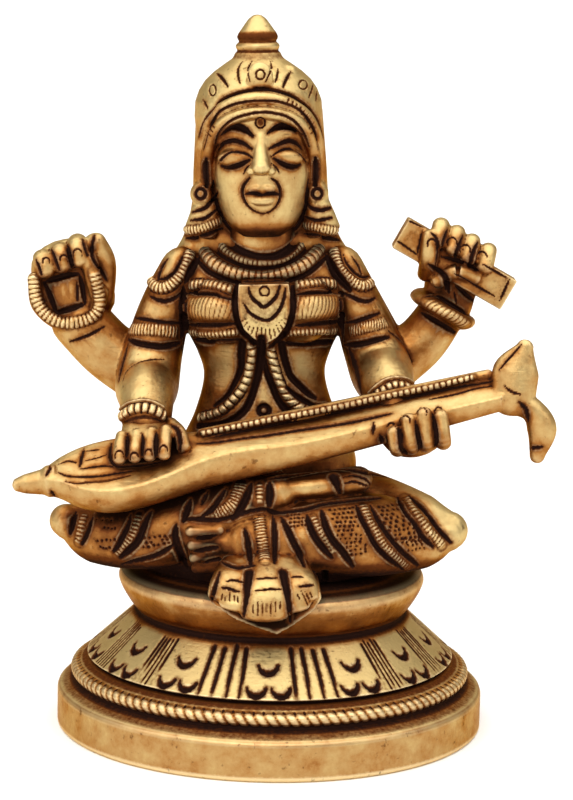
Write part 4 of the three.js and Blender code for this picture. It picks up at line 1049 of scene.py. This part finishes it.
head_wax = bmesh.new()
body(head_wax, [
    (79.5, 2.9, 2.2, -5.0), (81, 5.0, 4.9, -3.6), (83.4, 6.5, 7.0, -1.9), (86.5, 7.5, 8.3, -1),
    (91.5, 8.0, 9.1, -0.3), (98.5, 7.6, 8.6, 0.4), (101, 6, 6, 1),
])
limb(head_wax, [(0, -8.3, 95.8), (0, -9.0, 92.8), (0, -9.5, 91.0)],
     [(0.85, 0.7), (1.15, 1.2), (1.4, 1.5)], rings=12, ends=0.6)
ball(head_wax, (0.05, -10.0, 90.6), (1.4, 1.3, 1.15))
for side in (-1, 1):
    ball(head_wax, (side * 1.4, -8.9, 90.0), (0.95, 1.1, 0.8))
    ball(head_wax, (side * 4.0 - 0.1, -7.6, 92.0), (2.8, 1.3, 1.35), (0, side * 5, side * 20))
    limb(head_wax, [(side * 1.2, -8.5, 95.0), (side * 3.8, -7.8, 96.0), (side * 6.6, -5.2, 94.6)], [0.6] * 3)
    ball(head_wax, (side * 9.1 - 0.4, -2.6, 86.0), (1.95, 1.5, 1.95), (0, 0, side * 35))
    limb(head_wax, [(side * 8.6, -1.8, 84.6), (side * 9.0, -2.0, 82.4), (side * 9.7, -1.6, 80.0)],
         [(2.0, 1.8), (2.5, 1.9), (2.7, 1.9)], rings=12, ends=0.4)
    limb(head_wax, [(side * 8.7, -2.2, 92.2), (side * 9.5, -1.8, 89.6), (side * 8.9, -2.2, 87.2)], [0.7] * 3,
         rings=12)
    ball(head_wax, (side * 1.05 + 0.1, -8.9, 87.25), (1.2, 0.9, 0.65), (0, side * 12, 0))
ball(head_wax, (0.1, -7.7, 86.2), (2.9, 1.5, 2.7))
ball(head_wax, (0.15, -8.8, 85.4), (1.9, 1.0, 0.85))
ball(head_wax, (0, -8.3, 97.4), (0.95, 0.9, 1.0), sides=16)
ball(head_wax, (4.7, -2.0, 104.9), (1.5, 1.8, 1.1), (0, 35, 0), sides=16)
turned(head_wax, [
    (0, 94), (9.4, 94), (9.9, 96), (10.1, 98), (9.95, 100.4), (9.3, 102.2), (8.3, 103.7), (6.9, 105.0),
    (5.2, 106.2), (4.0, 107.0), (3.7, 107.5), (3.6, 107.9), (3.15, 108.15), (3.35, 108.5), (3.5, 108.9),
    (3.25, 109.3), (2.85, 109.6), (3.1, 109.9), (3.25, 110.3), (3.0, 110.9), (2.55, 111.5), (2.0, 112.3),
    (1.4, 113.1), (0.7, 113.65), (0, 113.8),
], 64, Matrix.Translation((-0.4, 0.4, 0)) @ Matrix.Diagonal((1, 0.94, 1, 1)))
for band in (
    [(-9.5, -1.4, 87.5), (-9.3, -3.4, 93.5), (-6.8, -7.2, 98.9), (-0.2, -9.0, 101.2), (6.4, -7.2, 98.9),
     (8.9, -3.4, 93.5), (9.2, -1.4, 87.5)],
    [(-8.5, -2.8, 88), (-8.2, -4.8, 93.0), (-5.8, -8.1, 97.3), (0, -9.5, 99.0), (5.8, -8.1, 97.3),
     (8.0, -4.8, 93.0), (8.3, -2.8, 88)],
):
    limb(head_wax, band, [1.0] * 7, (0, 0.3, 1), rings=60, sides=16)
ball(head_wax, (0, -7.4, 104.3), (2.1, 1.0, 2.4))
hair = body(head_wax, [
    (70, 13.6, 4.6, 4.2), (75, 14.4, 5.4, 3.6), (79, 12.4, 5.8, 3.4), (84, 11.0, 6.4, 3.2),
    (90, 10.6, 7.0, 3.0), (99, 10.0, 7.4, 2.2),
])
bmesh.ops.translate(head_wax, verts=hair, vec=(-0.3, 0, 0))
head = Casting("head_and_crown", melted(head_wax, 0.18, 6), shade_and_grime=0.75)

# The face is cut with few strokes, as such idols' faces are: brows, folds, closed lids and lips
FACE_DEPTH = -9
chisel(head, FACE_DEPTH, (
    (None, (-6.0, 95.6, 0.3), (-4.7, 96.6, 0.8), (-3.6, 96.8, 1.2), (-2.4, 96.4, 1.0), (-1.2, 95.4, 0.35)),
    (None, (1.1, 95.8, 0.35), (2.3, 96.6, 0.9), (3.8, 96.9, 1.2), (5.0, 96.6, 0.9), (6.4, 95.5, 0.3)),
    (None, (-6.2, 90.9, 0.4), (-5.3, 90.6, 0.7), (-4.3, 90.7, 0.9), (-3.0, 91.1, 0.8), (-1.8, 91.7, 0.4)),
    (None, (2.0, 91.9, 0.4), (3.1, 91.2, 0.8), (4.3, 90.7, 0.9), (5.3, 90.6, 0.7), (6.1, 90.9, 0.4)),
    (None, (-2.4, 86.45, 0.3), (-1.2, 86.6, 0.85), (0, 86.3, 0.4)),
    (None, (0.2, 86.3, 0.4), (1.5, 86.55, 0.85), (2.7, 86.4, 0.3)),
    (0.75, (-6.6, 93.3), (-5.8, 94.2), (-4.3, 94.7), (-2.9, 94.4), (-1.4, 93.4)),
    (0.75, (1.3, 93.4), (2.6, 94.0), (4.4, 94.6), (5.6, 94.2), (6.4, 93.3)),
    (0.5, (-6.6, 91.2), (-5.9, 92.1), (-4.6, 93.0), (-3.4, 93.0), (-2.1, 92.6), (-1.3, 92.0)),
    (0.45, (1.6, 92.2), (3.0, 93.1), (4.3, 93.4), (5.6, 92.9), (6.4, 92.2), (7.0, 91.3)),
    (0.3, (-1.5, 91.2), (-2.3, 90.4), (-2.7, 89.6)),
    (0.3, (1.6, 91.2), (2.4, 90.5), (2.8, 89.8)),
    (0.8, (-7.4, 88.6), (-7.1, 86.6), (-6.6, 84.4), (-5.7, 82.2), (-4.4, 80.4)),
    (0.8, (7.3, 88.6), (7.0, 86.6), (6.7, 84.4), (6.0, 82.0), (4.6, 80.4)),
    (1.7, (-8.4, 91.9), (-8.7, 89.8), (-8.3, 87.9)),
    (1.7, (8.4, 91.9), (8.7, 89.8), (8.3, 87.9)),
    (0.3, *ring(0, 97.4, 0.75, 0.8)),
))
# The line from the nose down round the mouth, and the round mark on the brow
chisel(head, FACE_DEPTH, (
    (None, (-1.8, 88.9, 0.4), (-2.6, 88.0, 0.6), (-3.0, 86.8, 0.65), (-2.5, 85.2, 0.45), (-1.4, 84.0, 0.35),
     (0.3, 83.4, 0.3), (1.8, 84.0, 0.35), (2.8, 85.4, 0.5), (3.0, 86.8, 0.6), (2.4, 88.3, 0.5),
     (1.6, 88.8, 0.3)),
), soot=0.8)
head.groove(head.seen([(0, 97.4)], FACE_DEPTH, SEAT), width=1.1, depth=0.08, soot=0.6)
# Nose, brow and earrings are rubbed bright, and the dome and the finial's tip brighter still, as a
# painted highlight where light falls from above. The neck under the chin and the hair by the ears
# are darker, as painted shade, and the finial's collar is duller
rubbing_and_light_patches(head, (
    *((-0.35, (side * 9.3, -4, 84), (3, 4, 4)) for side in (-1, 1)),
    *((0.3, (side * 10.2, -2, 90), (1.8, 6, 7)) for side in (-1, 1)),
    (0.65, (0, -5, 80.4), (6.5, 7, 1.5)), (-0.15, (0, -6, 103.5), (9, 8, 4)),
    (-0.2, (0, -10, 97.5), (4, 4, 1.6)), (-0.35, (0, -11, 90.5), (1.6, 3, 1.6)),
    (0.6, (-0.4, 0, 110.4), (6, 6, 0.7)), (-0.4, (-0.4, 0, 112.6), (4, 4, 1.2)),
))

# Earrings: a disc with a boss, two crescents and a fringe that lies on the hair
EAR_DEPTH = -3
chisel(head, EAR_DEPTH, (
    (0.6, *ring(-9.6, 86.1, 0.8, 0.85)),
    (0.6, *ring(8.7, 85.9, 0.8, 0.85)),
    (0.7, (-11.0, 83.2), (-8.9, 83.9), (-7.6, 85.3), (-6.9, 86.3)),
    (0.7, (6.9, 84.6), (7.7, 83.7), (9.2, 83.3), (10.8, 83.7)),
    (0.6, (-11.3, 81.9), (-9, 82.2), (-7, 83.6)),
    (0.6, (6.4, 82.4), (8.5, 81.7), (11.0, 82.1)),
    (0.8, (-12.0, 79.1), (-9.4, 79.4), (-6.3, 80.6)),
    (0.8, (6.6, 79.6), (9.4, 79.1), (12.2, 78.6)),
))
bands(head, EAR_DEPTH, (
    (1.5, 0.4, 0.5, 0, (-12.0, 80.3), (-9.4, 80.7), (-6.3, 82.0)),
    (1.5, 0.4, 0.5, 0, (6.6, 81.0), (9.4, 80.4), (12.2, 79.8)),
), slit=0.22)

# Crown: its brow bands, the scrolls on the dome, and the rings of the finial
CROWN_DEPTH = -7
for x, z in ((4.6, 101.3), (5.3, 100.9), (5.9, 100.5), (6.5, 100.0), (7.0, 99.4), (7.5, 98.8), (7.9, 98.1),
             (8.3, 97.3), (8.6, 96.5), (-7.9, 97.6), (-8.2, 96.9), (-8.5, 96.2)):
    head.groove(head.seen([(x, z), (x - 0.09 * x, z - 0.9)], CROWN_DEPTH, SEAT), width=0.32, depth=0.15,
                soot=0.7)
chisel(head, CROWN_DEPTH, (
    (0.7, (-9.6, 95.2), (-8.9, 97.6), (-7.75, 99.1), (-6.7, 100.2), (-5.5, 101.1), (-3.8, 101.8),
     (-1.8, 102.3), (0, 102.5), (2.2, 102.3), (3.9, 101.8), (5.3, 101.2), (6.5, 100.3), (7.7, 99.2),
     (8.9, 97.4), (9.6, 95.0)),
    (0.5, (-8.9, 93.2), (-7.9, 96.4), (-6.35, 99.0), (-5.0, 99.8), (-3.45, 100.3), (-1.4, 100.6), (0, 100.6),
     (2.2, 100.6), (3.9, 100.2), (5.6, 99.5), (6.65, 98.6), (8.2, 96.2), (8.9, 93.2)),
    (0.5, (-7.2, 93.2), (-6.3, 95.9), (-4.5, 97.7), (-2, 98.6), (0, 98.9), (2, 98.8), (4.7, 97.9), (6.4, 96),
     (7.4, 93.5)),
    (0.36, (-1.2, 106.8), (-1.75, 105.8), (-1.85, 104.8), (-1.55, 103.6)),
    (0.36, (-2.7, 106.7), (-3.3, 105.8), (-3.4, 104.8), (-3.1, 103.4)),
    (0.5, (-6.7, 105.0), (-6.1, 104.5), (-5.4, 103.6), (-5.0, 102.9)),
    (0.38, (1.65, 106.7), (1.8, 105.8), (1.45, 104.7), (0.85, 103.6)),
    (0.36, (2.8, 105.6), (2.7, 104.6), (2.35, 103.5)),
    (0.5, (4.8, 105.2), (4.1, 104.0), (3.55, 102.7)),
    (0.38, (8.25, 103.5), (8.0, 102.3), (7.5, 101.1)),
    (0.5, (-8.85, 101), (-8.2, 99.7)),
    (0.4, (8.8, 102.2), (8.6, 100.6)),
    (0.3, *ring(0.05, 104.7, 0.7, 0.75)),
    (0.3, *ring(-7.35, 102.4, 0.5, 0.85)),
    (0.3, *ring(6.65, 103.1, 0.65, 0.7)),
), soot=0.8)
# Each ring of the finial: its height, half its width, its depth and its soot
for z, spread, deep, dark in (
    (108.1, 0.35, 0.05, 0.7), (109.6, 0.3, 0.05, 0.6), (110.5, 0.8, 0, 0.5), (107.3, 0.7, 0, 0.35),
):
    on_ring = np.clip(1 - (np.abs(upright_spots(head)[:, 2] - z) / spread) ** 2, 0, 1)
    head.cut = np.maximum(head.cut, deep * on_ring)
    head.soot = np.maximum(head.soot, dark * on_ring)

# Behind: the crown's bands go round, and the hair falls in combed locks
half_turn = np.radians(np.arange(10, 171, 10))
lock = ((0.72, 97.2), (0.78, 90), (0.9, 83), (1.05, 77), (1.1, 71.5))
behind(head, (
    *((0.5, *((-0.4 + wide * math.cos(a), 0.4 + wide * math.sin(a), z) for a in half_turn))
      for wide, z in ((10.2, 99.4), (9.8, 100.8), (9.2, 102.3))),
    *((0.45, *((x * wide, 14, z) for wide, z in lock)) for x in np.arange(-11.2, 11.3, 1.4)),
))
head.finish()

# Veena and front hands, of the same pour: a lute that swells to a pointed tail on the left and
# ends in a leaf and a curled hook on the right. One hand lies on its deck, the other grips its
# neck.

VEENA_DEPTH = -17
# Places along it: how far across, the heights of its back edge, front edge and belly, and half its
# size from front to back
VEENA_STATIONS = [
    (-33.6, 45.2, 44.0, 41.0, 2.0), (-31.4, 46.6, 44.2, 40.4, 3.0), (-28.0, 48.0, 43.4, 38.9, 4.2),
    (-23.6, 49.0, 43.2, 38.2, 4.9), (-19.0, 49.5, 43.9, 38.9, 4.8), (-14.4, 49.9, 45.4, 40.2, 4.3),
    (-9.8, 50.2, 47.2, 41.6, 3.6), (-4.0, 50.8, 48.6, 43.0, 3.0), (5.6, 52.0, 49.6, 45.2, 2.6),
    (20.0, 55.2, 52.8, 48.9, 2.5), (36.5, 59.0, 56.4, 53.4, 2.5),
]
# Once round it from the belly: how far back, with the front at -1, and a height for veena_hull
VEENA_SECTION = [(0, 0), (0.55, 0.1), (0.96, 0.5), (1, 1.4), (0.86, 2), (-0.85, 1), (-1, 0.88), (-0.96, 0.5),
                 (-0.55, 0.1), (0, 0)]


def veena_hull(wax, rings=90, sides=48):
    """The hull. A section's height is 0 at the belly, 1 at the front edge and 2 at the back."""
    stations = spline(VEENA_STATIONS, np.linspace(0, 1, rings + 1))
    count = rings + 2
    for vert in bmesh.ops.create_uvsphere(wax, u_segments=sides, v_segments=count, radius=1)["verts"]:
        row = round(math.acos(max(-1.0, min(1.0, vert.co.z))) / math.pi * count)
        x, back, front, belly, half = stations[min(max(row - 1, 0), rings)]
        around = (math.atan2(vert.co.y, vert.co.x) / (2 * math.pi)) % 1
        across, height = spline(VEENA_SECTION, [around])[0] if row not in (0, count) else (0, 0.8)
        z = belly + (front - belly) * height if height < 1 else front + (back - front) * (height - 1)
        vert.co = (x, VEENA_DEPTH + across * half, z)


veena_wax = bmesh.new()
veena_hull(veena_wax)
turned(veena_wax, [(0, -6.4), (0.9, -6.0), (1.5, -4.4), (2.0, -1.6), (2.5, -0.8), (2.5, 0.6), (0, 2)], 32,
       Matrix.Translation((-32.6, VEENA_DEPTH, 43.2)) @ Matrix.Rotation(math.radians(-6), 4, "Y")
       @ Matrix.Rotation(math.radians(90), 4, "Y"))
limb(veena_wax, [(-9.6, VEENA_DEPTH + 1.6, 50.1), (34.6, VEENA_DEPTH + 1.6, 58.9)], [0.8, 0.8], rings=40,
     sides=14)
limb(veena_wax, [(38.2, VEENA_DEPTH, 55.6), (38.8, VEENA_DEPTH, 59.6), (40.2, VEENA_DEPTH, 63.4)],
     [(3.6, 2.4), (3.6, 1.9), (1.3, 0.9)], sides=28)
hook = [(x, VEENA_DEPTH, z) for x, z in ((37.2, 55.4), (41.2, 53.6), (42.75, 50.8), (42.1, 46.4))]
limb(veena_wax, hook, [(2.0, 2.2), (2.0, 1.9), (1.9, 2.3), (1.2, 1.2)], (0, 1, 0), sides=28)
limb(veena_wax, [(-18.2, -13.0, 51.6), (-18.1, -17.2, 49.9)], [(3.7, 2.2), (4.0, 1.5)], rings=12)
fingers(veena_wax, [
    [(x, -17.4, 50.2 + i * 0.3), (x - 0.2, -19.8, 48.6 + i * 0.2), (x - 0.3, -20.4, 47.1 + i * 0.2)]
    for i, x in enumerate((-21.7, -19.4, -17.1, -14.9))
], 1.05)
fingers(veena_wax, [[(-14.4, -14.8, 51.6), (-12.9, -17.6, 50.6), (-12.2, -18.6, 48.6)]], 1.15)
ball(veena_wax, (23.2, -15.0, 50.4), (5.4, 3.6, 4.4), (0, -15, 0))
fingers(veena_wax, [
    [(x + 0.6, -16.6, 47.5 + i * 0.35), (x + 0.4, -20.8, 48.6 + i * 0.35), (x, -20.4, z - 0.8)]
    for i, (x, z) in enumerate(((20.0, 51.8), (22.2, 53.7), (24.5, 54.6), (27.0, 54.2)))
], 1.25)
veena = Casting("veena_and_front_hands", melted(veena_wax, 0.21))

# Frets on the neck, lines along the deck, and gaps between the fingers that play it
PLAY_DEPTH = -19
bands(veena, PLAY_DEPTH, (
    (0.9, 0.45, 0.94, 0, (-9.6, 50.7), (-5.0, 51.6), (1.2, 52.8), (6.4, 53.7), (13.1, 55.0), (19.7, 56.4),
     (26.3, 57.7), (32.2, 59.1)),
), slit=0.3, slit_depth=0.35)
chisel(veena, PLAY_DEPTH, (
    (0.5, (-32.9, 46.5), (-32.8, 45.6), (-33.4, 44.5)),
    (0.5, (-32.8, 42.2), (-32.1, 41.0)),
    (0.26, (-27.4, 48.2), (-25.2, 48.4)),
    (0.26, (-27.3, 46.7), (-25.6, 47.1), (-24.1, 47.6)),
    (0.26, (-31.6, 47.2), (-30.2, 47.8)),
    (0.4, (-31.6, 45.0), (-30.3, 44.4), (-28, 44.2), (-25, 44.3), (-22.6, 44.7), (-20, 45.1)),
    (0.4, (-28.1, 45.4), (-26.2, 45.7), (-24.1, 45.9), (-23, 45.7)),
    (0.5, (-27.5, 48.7), (-27.9, 47.1), (-28.2, 45.8)),
    (0.35, (-31.4, 46.2), (-30, 46.7), (-28.7, 46.4)),
    (0.6, (-23.3, 49.3), (-23.5, 47.4), (-23.1, 46.3), (-22.3, 45.8), (-21, 45.8), (-18.4, 46.0),
     (-15.8, 46.4)),
    (0.7, (-20.8, 50.9), (-20.8, 48.4), (-21, 47.2)),
    (0.6, (-18.6, 50.9), (-18.4, 49.7), (-18.6, 47.4)),
    (0.8, (-16.3, 51), (-16.4, 49.5), (-16.5, 47.0)),
    (0.8, (-14.1, 52.2), (-13.2, 51.5), (-12.8, 49.7), (-12.9, 48.0)),
    (0.6, (-10.2, 49.2), (-8.2, 49.3), (-4.9, 49.7), (-2.1, 50.1), (0, 50.3), (6, 51.2), (13.1, 52.2),
     (17.4, 53.1), (19.6, 53.6)),
    (0.5, (-8, 50.1), (1.4, 51.9), (13.2, 54.1), (24.7, 56.5), (28.4, 57.3), (35, 58.4)),
    (0.4, (25.4, 55.7), (29.5, 56.5), (32.4, 57.3), (35, 57.7)),
    (0.9, (20.7, 51.6), (21.0, 49.9), (21.2, 48.1), (21.9, 47)),
    (0.8, (23.3, 52.3), (23.7, 49.9), (24, 48.3), (23.7, 47.6)),
    (0.8, (25.9, 53.4), (26.3, 51.4), (26.5, 49.2), (26.3, 48.4)),
    (0.5, (16.9, 52.2), (16.8, 50.5)),
    (0.8, (17.9, 50.3), (18.6, 47.7)),
    (0.35, (36, 60.1), (39.4, 64)),
    (0.35, (36.9, 57.6), (37.8, 56.8), (39.3, 56.3)),
    (0.7, (39.1, 55.2), (40.1, 54), (40.4, 52.2)),
    (0.6, (40.4, 47.9), (42.6, 48.1)),
))
# A faint line along the hull, below the deck's edge
hull_line = [(-30.4, 43.5), (-28.6, 43.2), (-26.8, 43.4), (-24.5, 43.5), (-22.5, 43.9), (-20.5, 44.4)]
veena.groove(veena.seen(hull_line, PLAY_DEPTH, SEAT), width=0.5, depth=0.2, soot=0.6)
nails(veena, PLAY_DEPTH, (
    (-22.1, 47.4, 0.7), (-19.8, 47.1, 0.7), (-17.6, 47.7, 0.6), (-15.3, 48.2, 0.65),
    (19.6, 51.4, 0.6), (21.7, 52.3, 0.8), (24.3, 53.6, 0.75), (26.8, 53.8, 0.6),
))
# All of it is a little duller than the face
veena.dull_and_shade += 0.07
veena.finish()

# Floor and light: a pale table of matt paper, two soft boxes at the sides, a larger one in
# front, and daylight from overhead through a diffuser.

FLOOR_HALF = 25
LIT_SPOT = Vector((0, 0, 0.06))

floor_wax = bmesh.new()
bmesh.ops.create_grid(floor_wax, x_segments=1, y_segments=1, size=FLOOR_HALF)
floor_mesh = bpy.data.meshes.new("floor")
floor_wax.to_mesh(floor_mesh)
floor_wax.free()
floor = bpy.data.objects.new("floor", floor_mesh)
bpy.context.scene.collection.objects.link(floor)
paper = bpy.data.materials.new("matt_white_paper")
paper.use_nodes = True
paper.node_tree.nodes["Principled BSDF"].inputs["Base Color"].default_value = linear("#F4F4F2")
paper.node_tree.nodes["Principled BSDF"].inputs["Roughness"].default_value = 0.9
floor_mesh.materials.append(paper)

for name, place, size, power in (
    ("front_softbox", (-0.25, -1.0, 0.62), 0.8, 3.05),
    ("left_softbox", (-0.9, -0.35, 0.35), 0.45, 1.6),
    ("right_softbox", (0.9, -0.45, 0.4), 0.4, 1.0),
):
    light = bpy.data.lights.new(name, "AREA")
    light.size = size
    light.energy = power
    lamp = bpy.data.objects.new(name, light)
    lamp.location = place
    lamp.rotation_euler = (LIT_SPOT - Vector(place)).to_track_quat("-Z", "Y").to_euler()
    bpy.context.scene.collection.objects.link(lamp)

overhead = bpy.data.lights.new("overhead_diffuser", "SUN")
overhead.energy = 3.2
overhead.angle = math.radians(100)
overhead_lamp = bpy.data.objects.new("overhead_diffuser", overhead)
overhead_lamp.rotation_euler = (math.radians(14), 0, 0)
bpy.context.scene.collection.objects.link(overhead_lamp)

world = bpy.data.worlds.new("studio")
world.use_nodes = True
world.node_tree.nodes["Background"].inputs["Color"].default_value = linear("#FFFFFF")
world.node_tree.nodes["Background"].inputs["Strength"].default_value = 0.47
bpy.context.scene.world = world
bpy.context.scene.view_settings.view_transform = "Standard"

# How open each part of the whole casting's skin is to the room, painted into its colour as shade:
# the hollows between the forms, and what looks down at the table, are darker. The rag that rubbed
# the brass never reached the hollows either.

RAYS = [Vector((math.cos(a) * s, math.sin(a) * s, math.sqrt(1 - s * s)))
        for s, count in ((0.3, 4), (0.62, 6), (0.88, 8)) for a in np.arange(count) / count * 2 * math.pi + s]
REACH = 30 * MM
OFF_SKIN = 0.4 * MM
# What a ray counts for when it meets nothing and points down at the table
TABLE_SHADE = 0.3
SHADE_EVERY = 10
SPREAD_PASSES = 14


def shade_skin(castings):
    """How shaded every tenth point of the skin is, spread from there to the points between."""
    points, faces = [], []
    for casting in castings:
        base = len(points)
        points += read_rows(casting.mesh.vertices, "co").tolist()
        faces += [[base + v for v in polygon.vertices] for polygon in casting.mesh.polygons]
    tree = BVHTree.FromPolygons(points, faces)
    for casting in castings:
        mesh = casting.mesh
        count = len(mesh.vertices)
        known = np.zeros(count)
        for i in range(0, count, SHADE_EVERY):
            vert = mesh.vertices[i]
            turn = vert.normal.to_track_quat("Z", "Y")
            start = vert.co + vert.normal * OFF_SKIN
            dark = 0.0
            for ray in RAYS:
                sight = turn @ ray
                distance = tree.ray_cast(start, sight, REACH)[3]
                if distance is not None:
                    dark += 1 - distance / REACH
                elif sight.z < -0.1:
                    dark += TABLE_SHADE
            known[i] = dark / len(RAYS)
        weight = (np.arange(count) % SHADE_EVERY == 0).astype(float)
        start, end = read_rows(mesh.edges, "vertices", 2, int).T
        for _ in range(SPREAD_PASSES):
            mass = weight + neighbour_sum(weight, start, end)
            known = (known + neighbour_sum(known, start, end)) / np.maximum(mass, 1e-9)
            weight = (mass > 0).astype(float)
        # Painted shade, stronger on some pieces than on others
        keep_on(mesh, "shade", known * casting.shade_and_grime)


shade_skin((plinth, legs, trunk, head, veena))
